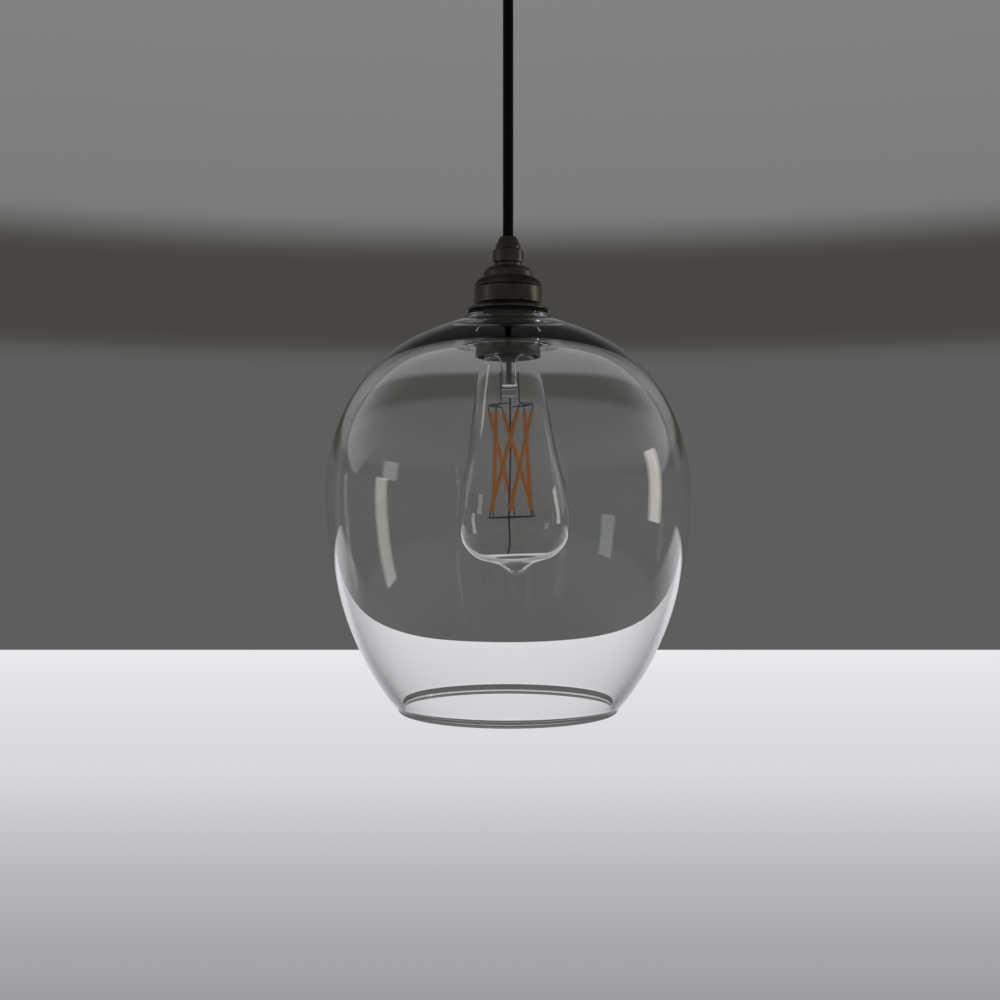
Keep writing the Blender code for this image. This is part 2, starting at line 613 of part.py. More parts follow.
def bulb_cap(bulb, tip):
    """Screw cap with its thread as rolled rings, the insulator in its crown and the tip contact on top."""
    root = CAP_RADIUS - 0.0006
    crests = 4
    thread = []
    for turn in range(crests):
        crest = SEAT - 0.0051 - turn * CAP_THREAD_PITCH
        thread += [(CAP_RADIUS, crest), (root, crest - CAP_THREAD_PITCH / 2)]
    foot = CAP_FOOT
    outline = [(0.0113, SEAT - 0.0029), (root, SEAT - 0.0037), *thread, (0.0134, foot + 0.0009),
               (0.0139, foot), (0.0135, foot), (0.0129, foot + 0.0012), (root - 0.0004, foot + 0.0026),
               (root - 0.0004, SEAT - 0.0043), (0.0109, SEAT - 0.0033)]
    turned("bulb_screw_cap", outline, "nickel", bulb, steps=20)
    insulator = [(0, SEAT + 0.0025), (0.0046, SEAT + 0.0025), (0.0105, SEAT - 0.0029),
                 (0.0105, SEAT - 0.0055), (0, SEAT - 0.0055)]
    turned("bulb_cap_insulator", insulator, "black_insulator", bulb, steps=16, closed=False)
    button = [(0, BULB_TOP), (0.0030, BULB_TOP - 0.0002), (0.0043, BULB_TOP - 0.0008),
              (0.0043, SEAT + 0.0028), (0, SEAT + 0.0028)]
    turned("bulb_tip_contact", button, "nickel", tip, steps=16, closed=False)


def bulb_driver(bulb):
    """A round board inside the cap, with its capacitor standing on it."""
    level = SEAT - 0.0130 - bulb["level"]
    board = stand("bulb_driver", cylinder_mesh("bulb_driver", 0.0100, 0.0012, 20), "board", bulb,
                  (0, 0, level))
    join(board, cylinder_mesh("capacitor", 0.0028, 0.0050, 12), (0.0035, 0.0020, level + 0.0028))
    join(board, box_mesh("bridge", (0.0050, 0.0040, 0.0022)), (-0.0045, -0.0010, level + 0.0014))


def bulb_stem(bulb):
    """Glass stem: a flare inside the cap, a tube, and the flattened pinch that grips the wires."""
    pinch = Vector((0.0094, 0.0035, 0.0074))
    outline = [(0, CAP_FOOT + 0.0020), (0.0103, CAP_FOOT + 0.0020), (0.0099, CAP_FOOT + 0.0014),
               (0.0076, CAP_FOOT - 0.0003), (0.0055, CAP_FOOT - 0.0030), (0.0048, CAP_FOOT - 0.0066),
               (0.0046, STEM_END + pinch.z + 0.0010), (0.0030, STEM_END + pinch.z - 0.0010),
               (0, STEM_END + pinch.z - 0.0014)]
    stem = turned("bulb_stem", outline, "bulb_glass", bulb, steps=14, closed=False)
    join(stem, box_mesh("pinch", pinch), (0, 0, STEM_END + pinch.z / 2 - bulb["level"]))


def on_ring(radius, degrees, level, bulb, shift=0.0):
    turn = math.radians(degrees)
    return Vector((shift + radius * math.cos(turn), radius * math.sin(turn), level - bulb["level"]))


def electrodes(bulb):
    """Each lead runs beside the stem's pinch and out along a spoke to a half ring with three filaments."""
    spoke_turn = {"left": 188, "right": 8}
    for name, middle in spoke_turn.items():
        sweep = [middle - 76 + 152 * i / 10 for i in range(11)]
        half_ring = [on_ring(UPPER_RING_RADIUS, a, UPPER_RING, bulb) for a in sweep]
        ring = solid_from_curve(wire(f"electrode_{name}", half_ring, 0.00035, "dark_wire", bulb, sides=1))
        lead = [on_ring(0.0054, middle, STEM_END + 0.0125, bulb), on_ring(0.0054, middle, STEM_END, bulb),
                on_ring(0.0056, middle, UPPER_RING + 0.0016, bulb),
                on_ring(0.0068, middle, UPPER_RING, bulb),
                on_ring(UPPER_RING_RADIUS, middle, UPPER_RING, bulb)]
        spoke = solid_from_curve(wire("spoke", lead, 0.00032, "dark_wire", bulb, sides=1))
        mesh = spoke.data
        bpy.data.objects.remove(spoke, do_unlink=True)
        join(ring, mesh, (0, 0, 0))


def lower_support(bulb):
    """The ring under the filaments, its hub and three spokes, and the wire that carries it."""
    around = [on_ring(LOWER_RING_RADIUS, 15 * i, LOWER_RING, bulb, RING_SHIFT) for i in range(24)]
    ring = solid_from_curve(wire("lower_support_ring", around, 0.00038, "dark_wire", bulb, sides=1,
                                 cyclic=True))
    level = LOWER_RING - bulb["level"]
    hub = [(0.0014, 0.0008), (0.0014, -0.0008), (0.0009, -0.0008), (0.0009, 0.0008)]
    hub = turned("hub", [(r, z + level + bulb["level"]) for r, z in hub], "dark_wire", bulb, steps=12)
    hub_mesh = evaluated_mesh(hub)
    join(ring, hub_mesh, (HUB_SHIFT, 0, 0))
    for turn in (30, 150, 270):
        rim = on_ring(LOWER_RING_RADIUS, turn, LOWER_RING, bulb, RING_SHIFT)
        run = rim - Vector((HUB_SHIFT, 0, level))
        start = rim - run + 0.0013 * run.normalized()
        join(ring, cylinder_mesh("spoke", 0.00030, (rim - start).length, 8), (start + rim) / 2,
             (0, math.radians(90), math.atan2(run.y, run.x)))
    route = [(0, 0, STEM_END - GAP - bulb["level"]), (0.4 * HUB_SHIFT, 0, level + 0.0300),
             (HUB_SHIFT, 0, level + 0.0015), (HUB_SHIFT, 0, level - 0.0150),
             (HUB_SHIFT - 0.0014, 0, level - 0.0212)]
    wire("support_wire", route, 0.0005, "dark_wire", bulb, sides=1)


def evaluated_mesh(part):
    """The part's mesh with its modifiers applied; the part itself goes."""
    bpy.context.view_layer.update()
    graph = bpy.context.evaluated_depsgraph_get()
    mesh = bpy.data.meshes.new_from_object(part.evaluated_get(graph))
    bpy.data.objects.remove(part, do_unlink=True)
    return mesh


def filaments(bulb):
    """Thin coated rods with a metal tab at each end, twisted a quarter turn from ring to ring."""
    clear = 0.0008
    stations = (0.0, 0.045, 0.05, 0.95, 0.955, 1.0)
    widths = (0.32, 0.32, 1.0, 1.0, 0.32, 0.32)
    for index in range(FILAMENTS):
        turn = -8 - 360 / FILAMENTS * index
        top = on_ring(UPPER_RING_RADIUS, turn, UPPER_RING - clear, bulb)
        twist = turn + math.degrees(FILAMENT_TWIST)
        bottom = on_ring(LOWER_RING_RADIUS, twist, LOWER_RING + clear, bulb, RING_SHIFT)
        points = [top.lerp(bottom, s) for s in stations]
        wire(f"filament_{index + 1}", points, 0.0012, "phosphor", bulb, widths=widths, sides=1)


# ---------------------------------------------------------------- assembly

def main():
    clear_scene()
    rose = pivot("rose", 0.0)
    swing = pivot("flex_pivot", GRIP_MOUTH_ROSE, rose)
    holder = pivot("holder_pivot", -DROP, swing)
    collet_pivot = pivot("collet_axis", -DROP, holder)
    nut_pivot = pivot("grip_nut_axis", -DROP, collet_pivot)
    contact_pivot = pivot("contact_axis", SEAT, holder)
    shade = pivot("shade_axis", SEAT, holder)
    sleeve = pivot("sleeve_axis", SEAT, shade)
    tip = pivot("bulb_tip_axis", BULB_PIVOT, holder, lean=-BULB_LEAN)
    bulb = pivot("bulb_axis", BULB_PIVOT, tip)

    ceiling_bracket(rose)
    rose_cup(rose)
    rose_side_screws(rose)
    terminal_block(rose)
    rose_cores(rose)
    rose_grip(rose)
    flex(swing, holder)
    cord_grip(holder, collet_pivot, nut_pivot)
    holder_cap(holder)
    knurled_ring(holder)
    holder_body(holder)
    shade_flange_ring(holder)
    socket(holder)
    contact(holder, contact_pivot)
    earth_and_cores(holder)
    glass_shade(shade)
    sleeve_nut(sleeve)
    bulb_envelope(bulb)
    bulb_cap(bulb, tip)
    bulb_driver(bulb)
    bulb_stem(bulb)
    electrodes(bulb)
    lower_support(bulb)
    filaments(bulb)
    bpy.context.view_layer.update()


main()
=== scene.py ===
import math

import bmesh
import bpy
import numpy as np
from mathutils import Matrix, Vector


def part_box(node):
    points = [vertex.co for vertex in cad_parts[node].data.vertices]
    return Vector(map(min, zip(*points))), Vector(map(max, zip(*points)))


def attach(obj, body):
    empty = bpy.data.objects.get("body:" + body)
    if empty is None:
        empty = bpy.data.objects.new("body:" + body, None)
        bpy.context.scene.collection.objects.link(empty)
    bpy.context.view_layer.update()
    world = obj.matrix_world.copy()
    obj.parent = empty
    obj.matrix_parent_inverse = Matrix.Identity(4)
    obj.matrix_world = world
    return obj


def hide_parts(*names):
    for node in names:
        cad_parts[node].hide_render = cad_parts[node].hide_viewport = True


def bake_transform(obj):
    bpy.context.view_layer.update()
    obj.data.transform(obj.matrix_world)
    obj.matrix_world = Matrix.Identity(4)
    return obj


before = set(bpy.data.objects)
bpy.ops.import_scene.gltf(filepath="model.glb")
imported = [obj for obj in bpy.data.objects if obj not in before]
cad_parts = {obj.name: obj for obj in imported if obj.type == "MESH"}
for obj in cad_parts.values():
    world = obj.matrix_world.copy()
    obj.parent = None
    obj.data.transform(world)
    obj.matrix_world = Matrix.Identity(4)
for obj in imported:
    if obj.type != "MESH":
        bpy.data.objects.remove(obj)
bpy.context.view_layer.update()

# Levels and sizes taken from the CAD nodes
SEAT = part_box("glass_shade")[1].z              # top face of the glass
GLOBE_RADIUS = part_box("glass_shade")[1].x
GRIP_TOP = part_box("cord_grip_nut")[1].z
ROSE_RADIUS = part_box("rose_cup")[1].y
ROSE_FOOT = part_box("rose_cup")[0].z
ROSE_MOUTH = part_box("rose_grip_nut")[0].z
FLEX_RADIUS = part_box("flex_cord")[1].x
FLEX_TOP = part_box("flex_cord")[1].z
TAIL_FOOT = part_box("flex_tail")[0].z

# Measures of the same part that its nodes' boxes don't give
EQUATOR = SEAT - 0.1006
MOUTH = EQUATOR - 0.1225
MOUTH_RADIUS = 0.0626
NECK_RADIUS = 0.0245
GLOBE_WALL = 0.0032
NECK_WALL = 0.0086
THREAD_PITCH = 0.00363
BULB_PIVOT = SEAT - 0.0136
BULB_LEAN = math.radians(2.0)
CAP_FOOT = SEAT - 0.0205
STEM_END = SEAT - 0.0467
UPPER_RING = SEAT - 0.0513
LOWER_RING = SEAT - 0.1153
BULB_TIP = SEAT - 0.1475
UPPER_RING_RADIUS = 0.0130
LOWER_RING_RADIUS = 0.0137
RING_SHIFT = -0.0013          # the lower ring hangs to one side of the bulb's own axis
HUB_SHIFT = -0.0030           # and its hub further
DOME_DROP = 0.0024            # how far the dome sits under a true sphere, at its neck
DOME_FLATTER = (0.074, 0.037)  # the radii where that drop starts and where it is whole
FILAMENTS = 6
CHIP_PITCH = 0.0022           # from one light chip of a filament to the next
CARRIERS = 12                 # strands each way round the flex
BRAID_PITCH = 0.0172          # length of one turn of a strand
BRAID_RELIEF = 0.00032        # depth of the gaps between strands
BRAID_SIDES = 84
BRAID_STEP = 0.00024
LEAN = (Matrix.Translation((0, 0, BULB_PIVOT)) @ Matrix.Rotation(-BULB_LEAN, 4, "Y")
        @ Matrix.Translation((0, 0, -BULB_PIVOT)))


# -------------------------------- material nodes

def node(tree, kind, **inputs):
    """Add a node. A value that is a socket is linked; any other is set.

    Names use _ for a space, and in0, in1 and so on name an input by its number."""
    made = tree.nodes.new(kind)
    for key, value in inputs.items():
        name = key.replace("_", " ")
        if hasattr(made, key) and key not in made.inputs and name not in made.inputs:
            setattr(made, key, value)
            continue
        numbered = key.startswith("in") and key[2:].isdigit()
        socket = made.inputs[int(key[2:]) if numbered else name]
        if isinstance(value, bpy.types.NodeSocket):
            tree.links.new(value, socket)
        else:
            socket.default_value = value
    return made


def new_material(name, roughness, metallic=0.0, **sockets):
    """A material and its shader, with the values that are the same all over set on the shader itself."""
    made = bpy.data.materials.new(name)
    made.use_nodes = True
    shader = made.node_tree.nodes["Principled BSDF"]
    shader.inputs["Roughness"].default_value = roughness
    shader.inputs["Metallic"].default_value = metallic
    for key, value in sockets.items():
        shader.inputs[key.replace("_", " ")].default_value = value
    return made, made.node_tree, shader


def noise(tree, scale, detail=3.0, vector=None, roughness=0.5):
    """Noise in object space, 0 to 1; scale is in cells to a metre."""
    if vector is None:
        vector = node(tree, "ShaderNodeTexCoord").outputs["Object"]
    return node(tree, "ShaderNodeTexNoise", Vector=vector, Scale=scale, Detail=detail,
                Roughness=roughness).outputs["Fac"]


def axes(tree):
    """X, Y and Z in object space."""
    place = node(tree, "ShaderNodeTexCoord").outputs["Object"]
    return node(tree, "ShaderNodeSeparateXYZ", Vector=place).outputs


def ramp(tree, factor, *stops):
    """A colour ramp through (position, colour) stops."""
    made = node(tree, "ShaderNodeValToRGB", Fac=factor)
    elements = made.color_ramp.elements
    while len(elements) < len(stops):
        elements.new(0.5)
    for element, (position, colour) in zip(elements, stops):
        element.position = position
        element.color = (*colour, 1.0)
    return made.outputs["Color"]


def maths(tree, operation, a, b=0.0, clamp=False):
    return node(tree, "ShaderNodeMath", operation=operation, use_clamp=clamp, in0=a, in1=b).outputs[0]


def half_up(tree, value, clamp=False):
    """Map a -1 to 1 value onto 0 to 1."""
    return node(tree, "ShaderNodeMath", operation="MULTIPLY_ADD", use_clamp=clamp,
                in0=value, in1=0.5, in2=0.5).outputs[0]


def span(tree, value, low, high):
    """Map a 0 to 1 value onto low to high."""
    return node(tree, "ShaderNodeMapRange", Value=value, To_Min=low, To_Max=high).outputs["Result"]


def mix(tree, factor, a, b):
    """Colour a, going to b as factor goes from 0 to 1."""
    made = tree.nodes.new("ShaderNodeMix")
    made.data_type = "RGBA"
    for socket, value in ((made.inputs[0], factor), (made.inputs[6], a), (made.inputs[7], b)):
        if isinstance(value, bpy.types.NodeSocket):
            tree.links.new(value, socket)
        elif isinstance(value, (int, float)):
            socket.default_value = value
        else:
            socket.default_value = (*value, 1.0)
    return made.outputs[2]


def bump(tree, shader, height, distance, strength=1.0, under=None):
    """Bump on a shader's normal, on top of another bump where one is given."""
    made = node(tree, "ShaderNodeBump", Height=height, Distance=distance, Strength=strength)
    if under is not None:
        tree.links.new(under, made.inputs["Normal"])
    tree.links.new(made.outputs["Normal"], shader.inputs["Normal"])
    return made.outputs["Normal"]


def lathe_lines(tree, scale):
    """Noise that is the same all the way round the Z axis, as a turning tool leaves it."""
    x, y, z = axes(tree)
    radius = maths(tree, "SQRT", maths(tree, "ADD", maths(tree, "MULTIPLY", x, x),
                                       maths(tree, "MULTIPLY", y, y)))
    flat = node(tree, "ShaderNodeCombineXYZ", X=radius, Y=0.0, Z=z).outputs[0]
    return noise(tree, scale, 4.0, flat)


def bronze_material(name, deep, body, worn, roughness=0.33):
    """Dark antique bronze: mottled patina, lathe lines, and brighter metal where edges are rubbed."""
    made, tree, shader = new_material(name, roughness, 1.0)
    patina = noise(tree, 95.0, 6.0, roughness=0.62)
    tone = ramp(tree, patina, (0.30, deep), (0.68, body))
    edges = node(tree, "ShaderNodeNewGeometry").outputs["Pointiness"]
    rub = maths(tree, "MULTIPLY", ramp(tree, edges, (0.52, (0, 0, 0)), (0.62, (0.5, 0.5, 0.5))),
                noise(tree, 420.0, 3.0))
    tone = mix(tree, rub, tone, worn)
    tree.links.new(tone, shader.inputs["Base Color"])
    grey = maths(tree, "ADD", span(tree, patina, roughness - 0.08, roughness + 0.12),
                 span(tree, noise(tree, 1500.0, 2.0), -0.03, 0.05))
    tree.links.new(grey, shader.inputs["Roughness"])
    lines = bump(tree, shader, lathe_lines(tree, 2600.0), 0.00003, 0.5)
    bump(tree, shader, noise(tree, 2200.0, 3.0), 0.00002, 0.35, under=lines)
    return made


def metal_material(name, low, high, roughness, scale=300.0):
    """Plain metal with a faint cloud of tarnish and a fine drawn grain."""
    made, tree, shader = new_material(name, roughness, 1.0)
    cloud = noise(tree, scale, 5.0, roughness=0.6)
    tree.links.new(ramp(tree, cloud, (0.3, low), (0.7, high)), shader.inputs["Base Color"])
    tree.links.new(span(tree, cloud, roughness + 0.10, roughness - 0.05), shader.inputs["Roughness"])
    bump(tree, shader, noise(tree, scale * 9, 3.0), 0.00002, 0.3)
    return made


def glass_material(name, colour, ripple, scale):
    """Clear blown glass: a solid of index 1.5 whose faces wander a little."""
    made, tree, shader = new_material(name, 0.0, 0.0, Transmission_Weight=1.0, IOR=1.5)
    shader.inputs["Base Color"].default_value = (*colour, 1.0)
    bump(tree, shader, noise(tree, scale, 1.0), ripple, 1.0)
    return made


def moulded_material(name, colour, roughness=0.42, scale=700.0):
    """Moulded plastic, porcelain or card: slightly uneven tone over a fine orange peel."""
    made, tree, shader = new_material(name, roughness)
    cloud = noise(tree, scale * 0.4, 4.0)
    low = tuple(c * 0.82 for c in colour)
    high = tuple(min(1.0, c * 1.1) for c in colour)
    tree.links.new(ramp(tree, cloud, (0.3, low), (0.7, high)), shader.inputs["Base Color"])
    tree.links.new(span(tree, cloud, roughness - 0.06, roughness + 0.10), shader.inputs["Roughness"])
    bump(tree, shader, noise(tree, scale * 2.5, 2.0), 0.00003, 0.35)
    return made


def phosphor_material(name):
    """Unlit filament: amber silicone over a row of small chips, darker at its skin, with a faint painted
    glow.
    """
    made, tree, shader = new_material(name, 0.42, Subsurface_Weight=0.35, Subsurface_Scale=0.0012,
                                      Coat_Weight=0.25, Coat_Roughness=0.2)
    shader.inputs["Subsurface Radius"].default_value = (1.0, 0.45, 0.15)
    _, _, level = axes(tree)
    chips = half_up(tree, maths(tree, "SINE", maths(tree, "MULTIPLY", level, 2 * math.pi / CHIP_PITCH)))
    skin = noise(tree, 900.0, 4.0)
    tone = ramp(tree, skin, (0.25, (0.70, 0.20, 0.008)), (0.75, (0.92, 0.32, 0.018)))
    tone = mix(tree, maths(tree, "MULTIPLY", chips, 0.28), tone, (0.98, 0.44, 0.040))
    tree.links.new(tone, shader.inputs["Base Color"])
    # A faint emission of the filament's own tone: a painted glow, since the filament is unlit.
    tree.links.new(tone, shader.inputs["Emission Color"])
    shader.inputs["Emission Strength"].default_value = 0.10
    bump(tree, shader, maths(tree, "ADD", maths(tree, "MULTIPLY", chips, 0.4), skin), 0.00005, 0.5)
    return made


def braid_material(name):
    """Black braided cotton: each strand is a little different, with fibres along it and dust in the gaps."""
    made, tree, shader = new_material(name, 0.86, Sheen_Weight=0.06, Sheen_Roughness=0.45,
                                      Specular_IOR_Level=0.2)
    x, y, z = axes(tree)
    turn = maths(tree, "MULTIPLY", maths(tree, "ARCTAN2", y, x), CARRIERS / (2 * math.pi))
    rise = maths(tree, "MULTIPLY", z, CARRIERS / BRAID_PITCH)
    one = maths(tree, "FLOOR", maths(tree, "ADD", turn, rise))
    two = maths(tree, "FLOOR", maths(tree, "SUBTRACT", turn, rise))
    cell = node(tree, "ShaderNodeCombineXYZ", X=one, Y=two, Z=0.0).outputs[0]
    strand = node(tree, "ShaderNodeTexWhiteNoise", Vector=cell).outputs["Value"]
    fibre = noise(tree, 5200.0, 3.0)
    tone = ramp(tree, fibre, (0.25, (0.003, 0.0028, 0.0028)), (0.8, (0.014, 0.013, 0.012)))
    tone = mix(tree, maths(tree, "MULTIPLY", strand, 0.55), tone, (0.017, 0.016, 0.015))
    fluff = ramp(tree, noise(tree, 1300.0, 5.0), (0.66, (0, 0, 0)), (0.80, (1, 1, 1)))
    tone = mix(tree, maths(tree, "MULTIPLY", fluff, 0.35), tone, (0.045, 0.042, 0.039))
    tree.links.new(tone, shader.inputs["Base Color"])
    bump(tree, shader, fibre, 0.00006, 0.7)
    return made


# -------------------------------- mesh tools

SHARP = math.radians(38.0)


def finish_piece(made, body, material, replaced=(), place=None):
    """Shade a piece and tie it to its body, its finish and the CAD nodes that it stands for."""
    mesh = made.data
    if place is not None:
        mesh.transform(place)
    mesh.shade_smooth()
    mesh.set_sharp_from_angle(angle=SHARP)
    mesh.materials.append(material)
    if body:
        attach(made, body)
    if replaced:
        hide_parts(*replaced)
    return made


def new_object(name, verts, faces):
    mesh = bpy.data.meshes.new(name)
    mesh.from_pydata([tuple(v) for v in verts], [], [tuple(f) for f in faces])
    mesh.validate()
    mesh.update()
    made = bpy.data.objects.new(name, mesh)
    bpy.context.scene.collection.objects.link(made)
    return made


def rounded(outline, fillet=0.0002, count=3, closed=True):
    """The outline with its corners eased. A point's third number is a fillet of its own."""
    dots = [(Vector(p[:2]), p[2] if len(p) > 2 else fillet) for p in outline]
    line = []
    for index, (corner, radius) in enumerate(dots):
        if not closed and index in (0, len(dots) - 1):
            line.append(corner)
            continue
        before = dots[index - 1][0] - corner
        after = dots[(index + 1) % len(dots)][0] - corner
        bend = math.pi - before.angle(after, math.pi)
        if bend < math.radians(14) or radius <= 0:
            line.append(corner)
            continue
        reach = min(radius * math.tan(bend / 2), 0.42 * before.length, 0.42 * after.length)
        a, b = corner + before.normalized() * reach, corner + after.normalized() * reach
        support = min(0.00012, 0.05 * min(before.length, after.length))
        line.append(a + before.normalized() * support)
        for step in range(count + 1):
            t = step / count
            line.append(a.lerp(corner, t).lerp(corner.lerp(b, t), t))
        line.append(b + after.normalized() * support)
    return [(p.x, p.y) for p in line]


def spline(points, per_span):
    """A smooth line through the points: a centripetal Catmull-Rom curve."""
    dots = [Vector(p) for p in points]
    dots = [2 * dots[0] - dots[1], *dots, 2 * dots[-1] - dots[-2]]
    line = []
    for a, b, c, d in zip(dots, dots[1:], dots[2:], dots[3:]):
        at_b = math.sqrt((b - a).length)
        at_c = at_b + math.sqrt((c - b).length)
        at_d = at_c + math.sqrt((d - c).length)
        for step in range(per_span):
            t = at_b + (at_c - at_b) * step / per_span
            ab, bc = a.lerp(b, t / at_b), b.lerp(c, (t - at_b) / (at_c - at_b))
            cd = c.lerp(d, (t - at_c) / (at_d - at_c))
            line.append(ab.lerp(bc, t / at_c).lerp(bc.lerp(cd, (t - at_b) / (at_d - at_b)),
                                                   (t - at_b) / (at_c - at_b)))
    line.append(dots[-2])
    return [tuple(p) for p in line]


def arc(centre, radius, start, end, count):
    """Points (radius, level) on a circle, angles in degrees from +X towards +Z."""
    angles = [math.radians(start + (end - start) * i / (count - 1)) for i in range(count)]
    return [(centre[0] + radius * math.cos(a), centre[1] + radius * math.sin(a)) for a in angles]


def refine(outline, longest, closed=True):
    """Points added so that no step along the outline is longer than this."""
    following = outline[1:] + outline[:1] if closed else outline[1:]
    line = []
    for (r, z), (next_r, next_z) in zip(outline, following):
        pieces = max(1, math.ceil(math.dist((r, z), (next_r, next_z)) / longest))
        line += [(r + (next_r - r) * i / pieces, z + (next_z - z) * i / pieces) for i in range(pieces)]
    return line if closed else line + [outline[-1]]


def turned_mesh(outline, steps, closed=True, relief=None):
    """Vertices and faces of an outline turned about Z, down the outer side and up the inner one.

    relief(radius, level, angles) gives a change of radius. An open outline starts and ends on the axis."""
    angle = 2 * math.pi * np.arange(steps) / steps
    verts, rows = [], []
    for radius, level in outline:
        if radius < 1e-7:
            rows.append([len(verts)] * steps)
            verts.append((0.0, 0.0, level))
            continue
        r = np.full(steps, radius) + (relief(radius, level, angle) if relief else 0.0)
        rows.append(list(range(len(verts), len(verts) + steps)))
        verts += list(zip(r * np.cos(angle), r * np.sin(angle), np.full(steps, level)))
    pairs = list(zip(rows, rows[1:])) + ([(rows[-1], rows[0])] if closed else [])
    faces = []
    for upper, lower in pairs:
        for j in range(steps):
            k = (j + 1) % steps
            quad = [upper[j], lower[j], lower[k], upper[k]]
            face = [v for i, v in enumerate(quad) if v != quad[i - 1]]
            if len(face) > 2:
                faces.append(face)
    return verts, faces


def turned(name, outline, body, material, replaced=(), steps=128, closed=True, relief=None,
           place=None):
    made = new_object(name, *turned_mesh(outline, steps, closed, relief))
    return finish_piece(made, body, material, replaced, place)


def swept(points, radii, sides, relief=None, cyclic=False):
    """Vertices and faces of a round bar along points; its ends are closed by a fan.

    radii is one radius or one for each point. relief(point index, angle) gives a change of radius."""
    dots = [Vector(p) for p in points]
    count = len(dots)
    tangents = []
    for i in range(count):
        if cyclic:
            tangents.append((dots[(i + 1) % count] - dots[i - 1]).normalized())
        else:
            tangents.append((dots[min(i + 1, count - 1)] - dots[max(i - 1, 0)]).normalized())
    side = tangents[0].orthogonal().normalized()
    if abs(tangents[0].z) > 0.999:
        side = Vector((1, 0, 0))
    verts, faces = [], []
    for i, (dot, along) in enumerate(zip(dots, tangents)):
        side = (side - along * side.dot(along)).normalized()
        up = along.cross(side)
        radius = radii[i] if hasattr(radii, "__len__") else radii
        for j in range(sides):
            a = 2 * math.pi * j / sides
            r = radius + (relief(i, a) if relief else 0.0)
            verts.append(dot + side * (r * math.cos(a)) + up * (r * math.sin(a)))
    rings = count if cyclic else count - 1
    for i in range(rings):
        n = (i + 1) % count
        for j in range(sides):
            k = (j + 1) % sides
            faces.append((i * sides + j, i * sides + k, n * sides + k, n * sides + j))
    if not cyclic:
        for ring, place in ((0, dots[0]), (count - 1, dots[-1])):
            centre = len(verts)
            verts.append(place)
            for j in range(sides):
                a, b = ring * sides + j, ring * sides + (j + 1) % sides
                faces.append((centre, b, a) if ring == 0 else (centre, a, b))
    return verts, faces


def merged(*parts):
    """Several (vertices, faces) pairs as one."""
    verts, faces = [], []
    for some_verts, some_faces in parts:
        base = len(verts)
        verts += [tuple(v) for v in some_verts]
        faces += [tuple(i + base for i in f) for f in some_faces]
    return verts, faces


def placed(part, matrix):
    verts, faces = part
    return [tuple(matrix @ Vector(v)) for v in verts], faces


def drilled(made, holes):
    """Cut round holes, each (matrix, radius, depth), and keep the result as the piece's own mesh."""
    for index, (matrix, radius, depth) in enumerate(holes):
        mesh = bpy.data.meshes.new("drill")
        bm = bmesh.new()
        bmesh.ops.create_cone(bm, cap_ends=True, segments=40, radius1=radius, radius2=radius, depth=depth,
                              matrix=matrix)
        bm.to_mesh(mesh)
        bm.free()
        tool = bpy.data.objects.new(f"drill_{index}", mesh)
        bpy.context.scene.collection.objects.link(tool)
        step = made.modifiers.new("hole", "BOOLEAN")
        step.object, step.operation, step.solver = tool, "DIFFERENCE", "EXACT"
        bpy.context.view_layer.update()
        cut = bpy.data.meshes.new_from_object(made.evaluated_get(bpy.context.evaluated_depsgraph_get()))
        made.modifiers.clear()
        made.data = cut
        bpy.data.objects.remove(tool)
    return made


# -------------------------------- camera and flex

def make_camera():
    """Level, in front of the globe and a little left of its axis."""
    data = bpy.data.cameras.new("camera")
    data.lens = 46.8
    data.sensor_width = 36.0
    data.clip_start, data.clip_end = 0.01, 60.0
    camera = bpy.data.objects.new("camera", data)
    camera.location = (-0.0046, -0.7395, -0.333)
    camera.rotation_euler = (math.radians(90), 0, 0)
    bpy.context.scene.collection.objects.link(camera)
    bpy.context.scene.camera = camera


def braid_relief(level, angle):
    """How far below its full radius the braid's surface lies, from two sets of strands that cross."""
    one = angle * CARRIERS / (2 * math.pi) + level * CARRIERS / BRAID_PITCH
    two = angle * CARRIERS / (2 * math.pi) - level * CARRIERS / BRAID_PITCH
    heights = []
    for across, along, phase in ((one, two, 0.0), (two, one, 1.0)):
        strand = math.floor(across)
        off = 2 * (across - strand) - 1
        crown = math.sqrt(max(0.0, 1 - 0.92 * off * off))
        over = 0.5 + 0.5 * math.sin(math.pi * (along + strand + phase))
        heights.append(crown * (0.35 + 0.65 * over))
    return -BRAID_RELIEF * (1 - max(heights))


def braided(top, foot):
    """A straight, upright length of braided flex."""
    count = round((top - foot) / BRAID_STEP)
    points = [(0.0, 0.0, top + (foot - top) * i / count) for i in range(count + 1)]
    level = [p[2] for p in points]
    return swept(points, FLEX_RADIUS, BRAID_SIDES, lambda i, a: braid_relief(level[i], a))


def make_flex(material):
    """The free flex, made straight here though on the lamp it bends at the rose's gland, and its end inside
    the lampholder's gland.
    """
    foot = GRIP_TOP - 0.0016
    gap = 0.0002
    made = new_object("flex", *braided(FLEX_TOP, foot))
    finish_piece(made, None, material, ("flex_cord",))
    tail = new_object("flex_in_lampholder", *braided(foot - gap, TAIL_FOOT))
    finish_piece(tail, "holder", material, ("flex_tail",))
    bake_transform(made)


# -------------------------------- lampholder

